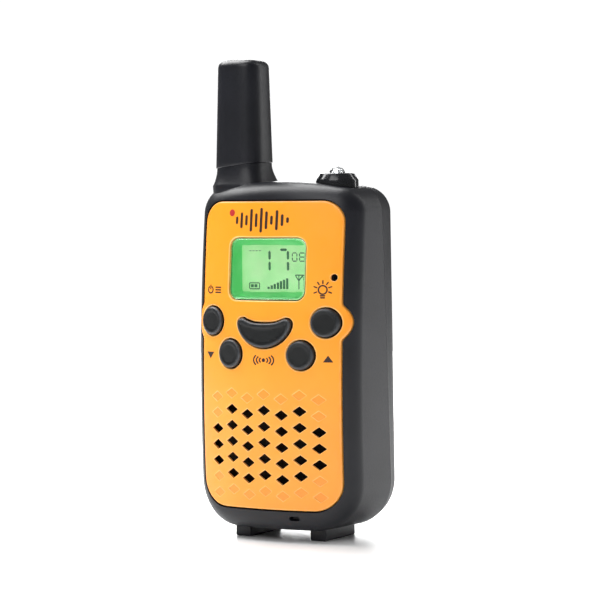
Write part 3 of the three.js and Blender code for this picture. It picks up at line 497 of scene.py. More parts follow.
def piece(name, bm, finish, stands_for=(), body="handset", sharp=32, worn_and_highlit=False):
    """Finishes a mesh: to metres, into the frame, smooth but for its sharp edges."""
    if worn_and_highlit:
        mark_wear_and_highlight(bm)
    place = Matrix.Diagonal((MM, MM, MM, 1)) @ Matrix.Translation((0, face_y, 0))
    bmesh.ops.transform(bm, matrix=place, verts=bm.verts)
    for f in bm.faces:
        f.smooth = True
    for e in bm.edges:
        e.smooth = not (e.is_manifold and e.calc_face_angle(0) > math.radians(sharp))
    made = as_object(bm, name)
    bm.free()
    made.data.materials.append(finish)
    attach(made, body)
    if stands_for:
        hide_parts(*stands_for)
    return made


# ---------------------------- finishes


def linear(colour):
    """An sRGB colour, written as hex, in linear light."""
    parts = [int(colour[i : i + 2], 16) / 255 for i in (1, 3, 5)]
    return [c / 12.92 if c <= 0.04045 else ((c + 0.055) / 1.055) ** 2.4 for c in parts] + [1.0]


def add(tree, kind, links=None, **settings):
    """Adds a shader node, with its settings and links."""
    made = tree.nodes.new("ShaderNode" + kind)
    for name, value in settings.items():
        if hasattr(made, name):
            setattr(made, name, value)
        else:
            made.inputs[name.replace("_", " ")].default_value = value
    for socket, source in (links or {}).items():
        tree.links.new(source, made.inputs[socket])
    return made


def ramp(tree, factor, stops):
    """Colours spread along a factor."""
    made = add(tree, "ValToRGB", {"Fac": factor})
    marks = made.color_ramp.elements
    for i, (position, colour) in enumerate(stops):
        mark = marks[i] if i < 2 else marks.new(position)
        mark.position, mark.color = position, linear(colour)
    return made.outputs["Color"]


def new_material(name):
    """A material, its empty tree, and the socket that says where on the object a point is."""
    made = bpy.data.materials.new(name)
    made.use_nodes = True
    made.node_tree.nodes.clear()
    return made, made.node_tree, add(made.node_tree, "TexCoord").outputs["Object"]


def finish_material(made, tree, links, **settings):
    shader = add(tree, "BsdfPrincipled", links, **settings)
    add(tree, "OutputMaterial", {"Surface": shader.outputs["BSDF"]})
    return made


def noise(tree, place, size, detail):
    """Noise with patches of a size in mm."""
    made = add(tree, "TexNoise", {"Vector": place}, Scale=1 / (size * MM), Detail=detail)
    return made.outputs["Fac"]


def bumps(tree, height, strength, depth):
    """Bumps of a depth in mm."""
    made = add(tree, "Bump", {"Height": height}, Strength=strength, Distance=depth * MM)
    return made.outputs["Normal"]


def turned_to(tree, colour, amount, other):
    """A colour turned by an amount to another one, written as hex."""
    made = add(tree, "Mix", {0: amount, 6: colour}, data_type="RGBA")
    made.inputs[7].default_value = linear(other)
    return made.outputs[2]


def moulded(name, dark, light, worn_and_highlit, roughness, grain, depth, blotch=14.0, recess_shade=None, **settings):
    """A moulded or cast surface: a fine grain that also breaks up the gloss, a slow drift of colour,
    edges made paler by wear and a painted highlight and, if asked, painted shade on the floors of
    shallow recesses. Grain, its depth and the drift are in mm."""
    made, tree, place = new_material(name)
    grains, wear_and_highlight_breakup = noise(tree, place, grain, 4.0), noise(tree, place, 2.2, 5.0)
    colour = ramp(tree, noise(tree, place, blotch, 3.0), [(0.35, dark), (0.65, light)])
    # pale edges: wear and a painted highlight on outward folds, broken up by noise
    wear_and_highlight_mask = add(tree, "Attribute", attribute_name="wear_and_highlight").outputs["Fac"]
    amount = add(tree, "Math", {0: wear_and_highlight_mask, 1: wear_and_highlight_breakup}, operation="MULTIPLY").outputs[0]
    colour = turned_to(tree, colour, amount, worn_and_highlit)
    # painted shade: the floors of blind recesses turned darker
    if recess_shade:
        floor = add(tree, "Attribute", attribute_name="recess").outputs["Fac"]
        colour = turned_to(tree, colour, floor, recess_shade)
    dull = add(
        tree, "MapRange", {"Value": grains},
        From_Min=0.3, From_Max=0.7, To_Min=roughness - 0.05, To_Max=roughness + 0.06,
    ).outputs["Result"]
    links = {"Base Color": colour, "Roughness": dull, "Normal": bumps(tree, grains, 0.6, depth)}
    return finish_material(made, tree, links, **settings)


def lit(name, dark, light, glow, roughness):
    """Translucent green plastic or glass with a lamp behind it, brighter in soft patches."""
    made, tree, place = new_material(name)
    body = ramp(tree, noise(tree, place, 9, 2.0), [(0.3, dark), (0.7, light)])
    ripple = bumps(tree, noise(tree, place, 0.5, 3.0), 0.2, 0.01)
    links = {"Base Color": body, "Emission Color": body, "Normal": ripple}
    return finish_material(made, tree, links, Emission_Strength=glow, Roughness=roughness, IOR=1.55)


def metal(name, dark, light, roughness, stretch=(1, 1, 12)):
    """Drawn or pressed metal: streaks along the way that it was worked."""
    made, tree, place = new_material(name)
    along = add(tree, "Mapping", {"Vector": place}, Scale=stretch).outputs[0]
    streaks = noise(tree, along, 1.2, 5.0)
    body = ramp(tree, streaks, [(0.35, dark), (0.65, light)])
    dull = add(
        tree, "MapRange", {"Value": streaks}, To_Min=roughness - 0.08, To_Max=roughness + 0.1
    ).outputs["Result"]
    links = {"Base Color": body, "Roughness": dull, "Normal": bumps(tree, streaks, 0.3, 0.01)}
    return finish_material(made, tree, links, Metallic=1.0)


def banded(name, stops, low, high, metallic, roughness):
    """Printed foil whose colour changes in bands up its height."""
    made, tree, place = new_material(name)
    height = add(tree, "SeparateXYZ", {"Vector": place}).outputs["Z"]
    along = add(tree, "MapRange", {"Value": height}, From_Min=low * MM, From_Max=high * MM)
    body = ramp(tree, along.outputs["Result"], stops)
    links = {"Base Color": body, "Normal": bumps(tree, noise(tree, place, 0.8, 3.0), 0.2, 0.02)}
    return finish_material(made, tree, links, Metallic=metallic, Roughness=roughness)


def clear_plastic(name, tint, roughness):
    """Injection-moulded polycarbonate: clear, with faint flow marks that bend the highlights."""
    made, tree, place = new_material(name)
    flow = noise(tree, place, 5, 2.0)
    body = ramp(tree, flow, [(0.3, tint), (0.7, "#ffffff")])
    return finish_material(
        made, tree, {"Base Color": body, "Normal": bumps(tree, flow, 0.1, 0.02)},
        Roughness=roughness, IOR=1.58, Transmission_Weight=1.0,
    )


def woven(name, dark, light, thread):
    """Cloth: two sets of threads that cross, drawn a little coarser than real so they show."""
    made, tree, place = new_material(name)
    waves = [
        add(
            tree, "TexWave", {"Vector": place}, bands_direction=way,
            Scale=math.pi / (10 * thread * MM), Distortion=0.4,
        ).outputs["Fac"]
        for way in ("X", "Z")
    ]
    both = add(tree, "Math", {0: waves[0], 1: waves[1]}, operation="MULTIPLY").outputs[0]
    links = {"Base Color": ramp(tree, both, [(0.2, dark), (0.8, light)])}
    links["Normal"] = bumps(tree, both, 0.8, 0.1)
    return finish_material(made, tree, links, Roughness=0.95, Sheen_Weight=0.2)


# ABS moulded in a spark-eroded tool: charcoal, satin, with a fine sandy grain
case_abs = moulded(
    "case_abs_spark_eroded", "#101116", "#16171d", "#5c5d63", 0.38, 0.45, 0.04, IOR=1.53,
    Specular_IOR_Level=0.32,
)
# ABS moulded in a polished tool: a warm orange, even, with a soft gloss; paler rims, a painted highlight
# along the bevels with some wear, and painted shade on the dent floors
plate_abs = moulded(
    "plate_abs_orange_polished", "#f79418", "#f99a20", "#ffdc92", 0.33, 1.6, 0.006, 22.0,
    recess_shade="#ee8f18", IOR=1.53, Coat_Weight=0.12, Coat_Roughness=0.12,
)
# ABS key tops: near black, satin, their rims painted paler: thumb wear and a painted highlight
button_abs = moulded(
    "button_abs_satin", "#0b0d0e", "#101213", "#5a5e64", 0.36, 0.5, 0.02, 4.0, IOR=1.53,
    Specular_IOR_Level=0.3,
)
# thermoplastic rubber sleeve: charcoal with a soft sheen
sleeve_rubber = moulded(
    "antenna_rubber_satin", "#101116", "#16171d", "#5c5d63", 0.34, 0.4, 0.02, IOR=1.5,
    Specular_IOR_Level=0.36,
)
# ABS from a mirror-polished tool: black with sharp highlights
bezel_abs = moulded(
    "torch_abs_gloss", "#141517", "#1a1b1e", "#80838a", 0.16, 0.9, 0.008, IOR=1.53
)
# nylon, dull black, in the antenna's root
plug_nylon = moulded("plug_nylon", "#1d1e20", "#26272a", "#55565a", 0.5, 0.5, 0.03, IOR=1.53)
# silicone rubber: mid grey, dull, slightly milky
silicone = moulded("keypad_silicone", "#84878a", "#93969a", "#b8bbbe", 0.62, 0.4, 0.03, IOR=1.41)
# carbon-filled silicone: dead black and dusty
carbon = moulded("carbon_pill", "#0f1012", "#17181a", "#333436", 0.75, 0.25, 0.04, IOR=1.45)
# pressed paper pulp: dark, fibrous
paper = moulded("cone_paper", "#2e2b29", "#3d3936", "#5a5550", 0.85, 0.7, 0.12, 3.0, IOR=1.45)
# sintered ferrite: dark grey ceramic with a chalky surface
ferrite = moulded("magnet_ferrite", "#37383b", "#434447", "#707175", 0.6, 0.6, 0.06, IOR=1.8)
# glass epoxy under green solder mask: glossy with a faint weave
laminate = moulded(
    "board_solder_mask", "#155a30", "#1f7a3f", "#4fae6c", 0.25, 1.0, 0.03, 3.0, IOR=1.5
)
# pad-printed ink, dark brown: thin, flat and slightly uneven
ink_dark = moulded(
    "pad_print_dark", "#200c03", "#280f04", "#280f04", 0.5, 0.3, 0.01, 2.0, IOR=1.5
)
# the same ink in red, a little glossier
ink_red = moulded("pad_print_red", "#a81f22", "#b8282a", "#b8282a", 0.45, 0.3, 0.01, 2.0, IOR=1.5)
# liquid crystal segments: see-through grey-green when driven dark
segment_dark = moulded("lcd_segment_dark", "#3f7a58", "#4b8863", "#4b8863", 0.4, 0.6, 0.004, 3.0)
# zinc-plated steel: bluish grey, fine drawing lines
zinc = metal("zinc_plated_steel", "#9a9da3", "#c2c5ca", 0.34)
# nickel-plated spring steel: warm white, brighter
nickel = metal("nickel_spring_steel", "#b2ada2", "#d8d4ca", 0.24)
# enamelled copper: reddish brown under clear lacquer
copper = metal("enamelled_copper", "#a8582f", "#cf7d48", 0.3, (6, 6, 6))
# light-guide polystyrene tinted green, lit from its edge
well_green = lit("light_guide_green", "#3fbe5c", "#66d07c", 0.36, 0.3)
# the lamp's diffuser behind the glass
lamp_green = lit("lamp_diffuser_green", "#7be392", "#98ecaa", 0.8, 0.5)
# liquid crystal glass over the lamp: pale green
screen = lit("lcd_glass_pale", "#aadd9f", "#bce8b0", 0.42, 0.2)
# polycarbonate from a polished tool: clear, sharp highlights, faintly green by the lamp behind it
window_clear = clear_plastic("window_polycarbonate", "#ecfff0", 0.03)
# the same plastic a little duller: the torch's lens and the lamp under it
lens_clear = clear_plastic("lens_polycarbonate", "#eef4f8", 0.08)
# woven polyester: black and matt, with its threads just showing
cloth = woven("acoustic_cloth", "#08080a", "#1a1a1d", 0.5)

# ---------------------------- places taken from the frame

window_low, window_high = mm_box("lcd_window")
window_z = (window_low.z + window_high.z) / 2
window_size = window_high - window_low
talk_low_corner, talk_high_corner = mm_box("talk_button")
talk_half = talk_high_corner.x - FLANGE_RIM
talk_low, talk_high = talk_low_corner.z + FLANGE_RIM, talk_high_corner.z - FLANGE_RIM
ear_x, ear_z = centre_of("torch_button").x, centre_of("torch_button").z
ear_radius = plate_high.x - ear_x
plate_half = ear_x + EAR_INSET
round_keys = {
    name: (centre_of(name + "_button").x, centre_of(name + "_button").z)
    for name in ("power", "torch", "down", "up")
}
antenna_tip = mm_box("antenna_cover")[1].z
antenna_x, antenna_y = centre_of("antenna_cover").x, centre_of("antenna_cover").y
torch_low, torch_high = mm_box("torch_bezel")
torch_x, torch_y = centre_of("torch_bezel").x, centre_of("torch_lens").y
cloth_low, cloth_high = mm_box("speaker_cloth")
grille_z = (cloth_low.z + cloth_high.z) / 2
microphone = centre_of("microphone")

window = rectangle(0, window_z, window_size.x + 2 * GAP, window_size.z + 2 * GAP, 3.0)
pane = rectangle(0, window_z, window_size.x, window_size.z, 2.7)

# ---------------------------- the case

SPLIT_RISE = 4.3
SPLIT_LEAN = math.radians(7)
SPLIT_GAP = 0.02  # the sleeve all but rests on the case
SPLIT_RIM = 0.3


def case_body(side=0.0, front=0.0, back=0.0, steps=9):
    """The case as one solid, drawn in by a wall at its sides, face and back."""
    bm = bmesh.new()
    front_radius, back_radius = max(FRONT_EDGE - side, 1), max(BACK_EDGE - side, 1)
    angles = [math.pi / 2 * i / steps for i in range(steps + 1)]
    rings = []
    for a in angles:
        inset = side + FRONT_DRAFT + front_radius * (1 - math.sin(a))
        rise = front + front_radius * (1 - math.cos(a))
        rings.append([(x, face_at(x, z) + rise, z) for x, z in case_outline(inset)])
    rings.append([(x, seam_at(z), z) for x, z in case_outline(side)])
    for a in reversed(angles):
        inset = side + BACK_DRAFT + back_radius * (1 - math.sin(a))
        fall = back + back_radius * (1 - math.cos(a))
        rings.append([(x, back_at(z) - fall, z) for x, z in case_outline(inset)])
    first = ring = start_ring(bm, rings[0])
    for points in rings[1:]:
        ring = next_ring(bm, ring, points)
    cap(bm, [ring])
    faces = slice_up(bm, 2, 5.0, slice_up(bm, 0, 1.6, cap(bm, [first])))
    for v in {v for f in faces for v in f.verts}:
        v.co.y = face_at(v.co.x, v.co.z) + front
    return closed(bm)


def squircle(half, z, shift=0.0, steps=96):
    """A rounded square section of the antenna at a height."""
    points = []
    for i in range(steps):
        c, s = math.cos(2 * math.pi * i / steps), math.sin(2 * math.pi * i / steps)
        x, y = (half * math.copysign(abs(t) ** (2 / 3), t) for t in (c, s))
        points.append((antenna_x + shift + x, antenna_y + y, z))
    return points


def cut_at_split(bm, above):
    """Cuts the antenna's post along its slanting split and rounds the edge left there."""
    normal = Vector((-math.sin(SPLIT_LEAN), 0, math.cos(SPLIT_LEAN)))
    point = Vector((antenna_x, antenna_y, TOP + SPLIT_RISE))
    point += normal * (SPLIT_GAP if above else -SPLIT_GAP)
    cut = bmesh.ops.bisect_plane(
        bm, geom=bm.verts[:] + bm.edges[:] + bm.faces[:], plane_co=point, plane_no=normal,
        clear_inner=above, clear_outer=not above,
    )
    edges = [g for g in cut["geom_cut"] if isinstance(g, bmesh.types.BMEdge)]
    bmesh.ops.contextual_create(bm, geom=edges)
    round_edges(bm, edges, SPLIT_RIM, 4)
    return closed(bm)


def make_collar():
    """The root of the antenna, which flares into the top of the case."""
    foot, waist, top = 8.9, 8.05, 7.45
    levels = [(foot, TOP - 7, 0.7), (foot + 0.3, TOP - 1.6, 0.7)]
    for i in range(9):
        t = i / 8
        half = top + (foot - top) * (1 - t) ** 1.7
        levels.append((half, TOP - 1 + t * (SPLIT_RISE + 1), 0.7 * (1 - t)))
    levels.append((top, TOP + 2 * SPLIT_RISE, 0.0))
    return cut_at_split(stack([squircle(h, z, s) for h, z, s in levels]), False)


def slab(near, far):
    """All that lies between two depths. Both planes lean like the seam."""
    bm = brick((-2 * FAR, near, -4 * FAR), (2 * FAR, far, 6 * FAR))
    turn = Matrix.Rotation(SEAM_LEAN, 3, "X")
    bmesh.ops.rotate(bm, cent=(0, SEAM_DEPTH, MIDDLE), matrix=turn, verts=bm.verts)
    return bm


def half_space(is_front):
    """All that lies in front of the seam, or behind it."""
    if is_front:
        return slab(-FAR, SEAM_DEPTH - SEAM_GAP / 2)
    return slab(SEAM_DEPTH + SEAM_GAP / 2, 2 * FAR)


screw_places = []
for i in (1, 2, 3, 4):
    low, high = mm_box(f"case_screw_{i}")
    screw_places.append(((low.x + high.x) / 2, (low.z + high.z) / 2, low.y, high.y))

PLUG_ROOM, TORCH_ROOM = 3.3, 4.3  # radii
SCREW_HOLE, HEAD_WELL, FRONT_POST, REAR_POST = 1.4, 2.4, 2.9, 3.4  # radii
TRAY_WALL = 1.5
LIP_REACH = 1
body = combine(case_body(), [make_collar()], "UNION")
cavity = case_body(WALL, INNER_DEPTH, WALL, 4)
# the front shell's tongue, which reaches into the rear shell and closes the seam to light
lip = combine(
    case_body(WALL / 2, WALL / 2, WALL / 2, 4),
    [slab(SEAM_DEPTH - LIP_REACH, SEAM_DEPTH + LIP_REACH)], "INTERSECT",
)
rooms = [
    lathe(x, y, [(radius, TOP - 15), (radius, TOP + 15)], 40)
    for x, y, radius in ((antenna_x, antenna_y, PLUG_ROOM), (torch_x, torch_y, TORCH_ROOM))
]


def screw_posts(radius, front, back, is_front):
    """A post for each screw, cut off at the skin of the case and at the seam."""
    posts = [prism(circle(x, z, radius, 32), front, back) for x, z, _, _ in screw_places]
    return combine(joined(posts), [body, half_space(is_front)], "INTERSECT")


FOOT_X, FOOT_HALF = 12.8, 2.65  # where the feet stand, and half their width
FOOT_FRONT, FOOT_BACK = 9, 27.3
BEHIND_WALL = 15  # a depth that is well inside the case


def make_front():
    recess = sheet((plate_outline, [(GROOVE, PLATE_THICKNESS + GAP), (GROOVE, -3)]))
    span = cloth_high - cloth_low
    openings = [prism(window, -FAR, BEHIND_WALL), prism(talk_outline, -FAR, BEHIND_WALL, GAP)]
    for x, z in round_keys.values():
        openings.append(prism(circle(x, z, KEY_RADIUS + GAP), -FAR, BEHIND_WALL))
    openings.append(prism(rectangle(0, grille_z, span.x - 3, span.z - 3, 5), -FAR, 11))
    openings.append(prism(circle(microphone.x, microphone.z, MICROPHONE_HOLE, 32), -FAR, 12))
    shell = combine(body.copy(), [half_space(True)], "INTERSECT")
    shell = combine(shell, [lip], "UNION")
    shell = combine(shell, [cavity, recess, *openings, *rooms], "DIFFERENCE")
    posts = screw_posts(FRONT_POST, 0, SEAM_DEPTH + 2, True)
    posts = combine(posts, [sheet((plate_outline, [(GROOVE, 3.9), (GROOVE, -3)]))], "DIFFERENCE")
    feet = [
        combine(
            brick((x - FOOT_HALF, FOOT_FRONT, 0), (x + FOOT_HALF, FOOT_BACK, FOOT + 3), 0.55, 4),
            [cavity], "DIFFERENCE",
        )
        for x in (-FOOT_X, FOOT_X)
    ]
    shell = combine(shell, [posts, *feet], "UNION")
    holes = [prism(circle(x, z, SCREW_HOLE, 24), low - 1, FAR) for x, z, low, _ in screw_places]
    notch = brick((7.4, -2, 6.6), (10.6, face_at(9, 7) + 2.2, 7.9), 0.5, 3)
    return combine(shell, [*holes, notch], "DIFFERENCE")


def make_rear():
    cell_low, cell_high = mm_box("battery_1")
    door_low, door_high = mm_box("battery_door")
    reach, floor = door_high.x + GAP, cell_low.y - GAP
    low, high = door_low.z - GAP, door_high.z + GAP
    wide = reach + TRAY_WALL
    tray = brick((-wide, floor - TRAY_WALL, low - TRAY_WALL), (wide, FAR, high + TRAY_WALL))
    tray = combine(tray, [body, half_space(False)], "INTERSECT")
    bay = prism(rectangle(0, (low + high) / 2, 2 * reach, high - low, 1.6), floor, 2 * FAR)
    posts = screw_posts(REAR_POST, 10, 2 * FAR, False)
    wells = []
    for x, z, _, head in screw_places:
        wells.append(prism(circle(x, z, SCREW_HOLE, 24), 0, 2 * FAR))
        wells.append(prism(circle(x, z, HEAD_WELL, 40), head - 2.1, 2 * FAR))
    seat_low, seat_high = mm_box("clip_bracket")
    room = Vector((GAP, GAP, GAP))
    seat_low, seat_high = seat_low - room, seat_high + room
    seat = brick(seat_low, (seat_high.x, 2 * FAR, seat_high.z))
    shell = combine(body.copy(), [half_space(False)], "INTERSECT")
    shell = combine(shell, [lip, cavity], "DIFFERENCE")
    shell = combine(shell, [posts, tray], "UNION")
    return combine(shell, [bay, *wells, seat, *rooms], "DIFFERENCE")


piece("front_case", make_front(), case_abs, ["front_shell"])
piece("rear_case", make_rear(), case_abs, ["rear_shell"])

# ---------------------------- the face plate

RIM = [(-0.02, 0.42), (-0.1, 0.22), (-0.24, 0.08), (-0.42, 0.015), (-0.62, 0)]
DIAMOND = (4.6, 3.2)
PITCH_X, PITCH_Z, STAGGER = 5.735, 4.755, 0.625
COLUMNS = ROWS = 7
WINDOW_RIM, KEY_HOLE_RIM, HOLE_RIM = 0.3, 0.35, 0.12  # radii


def grille_places():
    """Centres of the diamonds: the open ones, and the shallow ones round them."""
    opened, shallow = [], []
    for column in range(COLUMNS):
        for row in range(ROWS):
            x = (column - COLUMNS // 2) * PITCH_X
            z = grille_z + (ROWS // 2 - row) * PITCH_Z + (STAGGER if column % 2 else -STAGGER)
            margin = 2 if column in (0, COLUMNS - 1) else 1
            (opened if margin <= row < ROWS - margin else shallow).append((x, z))
    return opened, shallow


def make_plate():
    edge = lambda rim: [(0, rim), (rim * 0.3, rim * 0.3), (rim, 0), (rim + 0.15, 0)]
    through = lambda rim: [(0, PLATE_THICKNESS), *edge(rim)]
    flared = [(0.42, PLATE_THICKNESS), (0.42, 1.0), (0, 0.55), *edge(HOLE_RIM)]
    holes = [(window, through(WINDOW_RIM))]
    holes.append((circle(microphone.x, microphone.z, MICROPHONE_HOLE, 32), flared))
    key_hole = through(KEY_HOLE_RIM)
    holes.append((lambda m: talk_outline(m + GAP), key_hole))
    holes += [(circle(x, z, KEY_RADIUS + GAP), key_hole) for x, z in round_keys.values()]
    opened, shallow = grille_places()
    holes += [(rhombus(x, z, *DIAMOND), flared) for x, z in opened]
    dent = [(-0.22, 0.22), (-0.14, 0.22), (0, 0.02), (0.06, 0), (0.2, 0)]
    # the dent floors are darkened in the material as painted shade
    dents = [(rhombus(x, z, *DIAMOND), dent) for x, z in shallow]
    outer = (plate_outline, [(0, PLATE_THICKNESS), *RIM])
    return sheet(outer, holes, dents)


# the plate's rims are painted pale: a painted highlight along the bevels, with wear
piece("orange_plate", make_plate(), plate_abs, ["face_plate"], sharp=50, worn_and_highlit=True)

# ---------------------------- the keys

FLANGE_THICKNESS, STEM_RADIUS = 1, 2.0


def make_key(outline, x, z, body_node):
    """A key's top with its rounded rim, the flange that holds it in, and its stem."""
    stem_back = mm_box(body_node)[1].y
    reach = max(abs(p[0]) for p in outline(FLANGE_RIM))
    flange_front = skin_at(reach, ear_z) + INNER_DEPTH + GAP
    stem = circle(x, z, STEM_RADIUS, 32)
    rim = [(0, 0.95), (-0.05, 0.6), (-0.22, 0.26), (-0.5, 0.07), (-0.85, 0), (-1.25, 0.02), (-1.6, 0.09)]
    profile = [(0, FIXED + flange_front + FLANGE_THICKNESS)]
    profile += [(margin, -PROUD + fall) for margin, fall in rim]
    top = sheet((outline, profile), step=(0.9, 0.9))
    flange = prism(outline, flange_front, flange_front + FLANGE_THICKNESS, FLANGE_RIM)
    rod = prism(stem, flange_front, stem_back)
    return combine(top, [flange, rod], "UNION")


talk_z = (talk_low + talk_high) / 2
outlines = {name: (circle(x, z, KEY_RADIUS, 72), x, z) for name, (x, z) in round_keys.items()}
outlines["talk"] = (talk_outline, 0, talk_z)
for name, shape in outlines.items():
    button = name + "_button"
    made = make_key(*shape, button)
    # key rims painted pale: wear and a painted highlight
    piece(name + "_key", made, button_abs, [button], button, 50, True)

# ---------------------------- the display

WINDOW_RECESS = 0.2
WINDOW_THICKNESS = 1.2


def make_window():
    """The clear pane, its rim rounded so that it catches a line of light."""
    front = WINDOW_RECESS
    rim = [(0, front + WINDOW_THICKNESS), (0, front + 0.45), (-0.1, front + 0.2)]
    rim += [(-0.3, front + 0.04), (-0.55, front)]
    return sheet((pane, rim), step=(1.2, 3.0))


def make_well(back):
    """The green frame whose walls narrow from the pane down to the glass."""
    front = WINDOW_RECESS + WINDOW_THICKNESS + GAP
    bm = bmesh.new()
    levels = [
        (0, back, True), (0, front + 0.3, False), (-0.15, front, False), (-0.45, front, False),
        (-0.75, front + 0.25, False), (-1.0, front + 1.0, False), (-2.1, back - 0.3, True),
        (-2.1, back, True),
    ]

    def through(margin, depth, fixed):
        return [(x, depth if fixed else skin_at(x, z) + depth, z) for x, z in pane(margin)]

    ring = start_ring(bm, through(*levels[0]))
    for level in levels[1:] + levels[:1]:
        ring = next_ring(bm, ring, through(*level))
    return closed(bm)


well_back = mm_box("lcd_bezel")[1].y
piece("display_window", make_window(), window_clear, ["lcd_window"], sharp=60)
well = make_well(well_back)
piece("display_well", well, well_green, ["lcd_bezel"], sharp=60)

glass_low, glass_high = mm_box("lcd_glass")
glass_block = brick(glass_low, glass_high, 0.25, 2)
piece("display_glass", glass_block, screen, ["lcd_glass"])

INK_RISE = 0.05


def bar(x0, z0, x1, z1, width):
    """A flat straight segment with pointed ends."""
    along = Vector((x1 - x0, z1 - z0)).normalized()
    side = Vector((-along.y, along.x)) * width / 2
    tip = along * width / 2
    a, b = Vector((x0, z0)), Vector((x1, z1))
    return [tuple(p) for p in (a, a + tip + side, b - tip + side, b, b - tip - side, a + tip - side)]


def flat_marks(shapes, y):
    """Thin flat shapes on the front of the glass."""
    bm = bmesh.new()
    for points in shapes:
        back = start_ring(bm, upright(points, y))
        cap(bm, [back])
        front = next_ring(bm, back, upright(points, y - INK_RISE))
        cap(bm, [front])
    return closed(bm)


def digit(x, z, width, height, stroke, lit_segments):
    """The lit bars of one seven-segment figure, its lower left corner at x, z."""
    half = height / 2
    ends = {
        "a": (0, height, width, height), "b": (width, half, width, height),
        "c": (width, 0, width, half), "d": (0, 0, width, 0), "e": (0, 0, 0, half),
        "f": (0, half, 0, height), "g": (0, half, width, half),
    }
    trim = stroke * 0.35
    bars = []
    for name in lit_segments:
        x0, z0, x1, z1 = ends[name]
        dx, dz = (trim, 0) if z0 == z1 else (0, trim)
        bars.append(bar(x + x0 + dx, z + z0 + dz, x + x1 - dx, z + z1 - dz, stroke))
    return bars


def make_segments():
    """Channel 17, a small 08, seven signal bars, a battery sign and an aerial sign."""

    def block(x, z, width, height):
        return [(x, z), (x + width, z), (x + width, z + height), (x, z + height)]

    z, foot = window_z, window_z - 6.0
    shapes = digit(-1.4, z - 0.9, 0.0, 6.4, 0.75, "bc") + digit(1.9, z - 0.9, 2.9, 6.4, 0.75, "abc")
    shapes += digit(6.3, z + 2.2, 1.5, 2.4, 0.3, "abcdef")
    shapes += digit(8.7, z + 2.2, 1.5, 2.4, 0.3, "abcdefg")
    shapes += [block(-2.2 + i * 1.05, foot, 0.72, 0.6 + i * 0.42) for i in range(7)]
    battery = [(-8.3, -6.0, -4.9, -6.0), (-8.3, -4.3, -4.9, -4.3), (-8.3, -6.0, -8.3, -4.3)]
    battery.append((-4.9, -6.0, -4.9, -4.3))
    shapes += [bar(x0, z + z0, x1, z + z1, 0.28) for x0, z0, x1, z1 in battery]
    shapes += [block(x, z - 5.6, 0.9, 0.9) for x in (-7.8, -6.6)]
    aerial = [(8.4, -6.1, 8.4, -1.9), (7.2, -1.9, 8.4, -3.6), (9.6, -1.9, 8.4, -3.6)]
    aerial.append((7.2, -1.9, 9.6, -1.9))
    shapes += [bar(x0, z + z0, x1, z + z1, 0.3) for x0, z0, x1, z1 in aerial]
    shapes += [bar(-8.3 + i * 1.1, z + 5.2, -7.6 + i * 1.1, z + 5.2, 0.22) for i in range(4)]
    return flat_marks(shapes, glass_low.y - 0.02)


piece("display_segments", make_segments(), segment_dark)

# ---------------------------- antenna and torch


def make_sleeve():
    """The antenna's sleeve: a tapered rounded square with a soft shoulder at its tip."""
    tip, foot_half, tip_half, round_off = antenna_tip, 7.8, 6.9, 2.6
    bend_z = tip - round_off
    levels = [(foot_half, TOP)]
    for i in range(1, 7):
        levels.append((foot_half + (tip_half - foot_half) * i / 6, TOP + (bend_z - TOP) * i / 6))
    for i in range(1, 9):
        a = math.radians(90) * i / 8
        half = tip_half - round_off * (1 - math.cos(a))
        levels.append((half, bend_z + (round_off - 0.3) * math.sin(a)))
    levels += [(3.2, tip - 0.16), (2.0, tip - 0.06), (0.8, tip)]
    bm = cut_at_split(stack([squircle(h, z) for h, z in levels]), True)
    bore = lathe(antenna_x, antenna_y, [(4.2, TOP - 1), (4.2, tip - 8)], 40)
    return combine(bm, [bore], "DIFFERENCE")


piece("antenna_sleeve", make_sleeve(), sleeve_rubber, ["antenna_cover"])


def make_torch_ring():
    """The torch's bezel: a short cone with a turned-in lip, and the spigot that holds it."""
    rim = torch_high.z
    bm = lathe(torch_x, torch_y, [
        (6.3, TOP - 4), (6.3, TOP - 0.35), (6.2, TOP), (5.35, rim - 0.7), (5.2, rim - 0.3),
        (5.0, rim - 0.08), (4.75, rim), (4.2, rim), (3.9, rim - 0.15), (3.65, rim - 0.7),
        (3.5, rim - 3),
    ], 72)
    spigot = lathe(torch_x, torch_y, [(4.0, torch_low.z), (4.0, rim - 2)], 48)
    bm = combine(bm, [case_body(-0.1, -0.1, -0.1, 6)], "DIFFERENCE")
    bm = combine(bm, [spigot], "UNION")
    bore = lathe(torch_x, torch_y, [(3.2, torch_low.z - 1), (3.2, rim + 1)], 48)
    return combine(bm, [bore], "DIFFERENCE")


piece("torch_ring", make_torch_ring(), bezel_abs, ["torch_bezel"])

DOME, DOME_WALL = 2.4, 1.3
lens_low, lens_high = mm_box("torch_lens")
shoulder = lens_high.z - DOME
hollow = DOME - DOME_WALL
lens_profile = [
    *reversed(arc(0, shoulder, hollow, 0, 90, 14)), (hollow, lens_low.z), (2.9, lens_low.z),
    (2.9, shoulder - 0.15), (2.75, shoulder), *arc(0, shoulder, DOME, 0, 90, 14), (0.12, lens_high.z),
]
lens = lathe(torch_x, torch_y, lens_profile, 56)
piece("torch_dome", lens, lens_clear, ["torch_lens"], sharp=40)

led_low, led_high = mm_box("torch_led")
bend_z = led_high.z - 1.6
led = [(2.5, led_low.z), (2.5, led_low.z + 0.8), (2.2, led_low.z + 0.9), (2.2, bend_z)]
led += arc(0, bend_z, 2.2, 0, 90, 8, high=1.55)[1:]
lamp = lathe(torch_x, torch_y, led, 40)
piece("torch_lamp", lamp, lens_clear, ["torch_led"], sharp=40)

# ---------------------------- marks printed on the plate


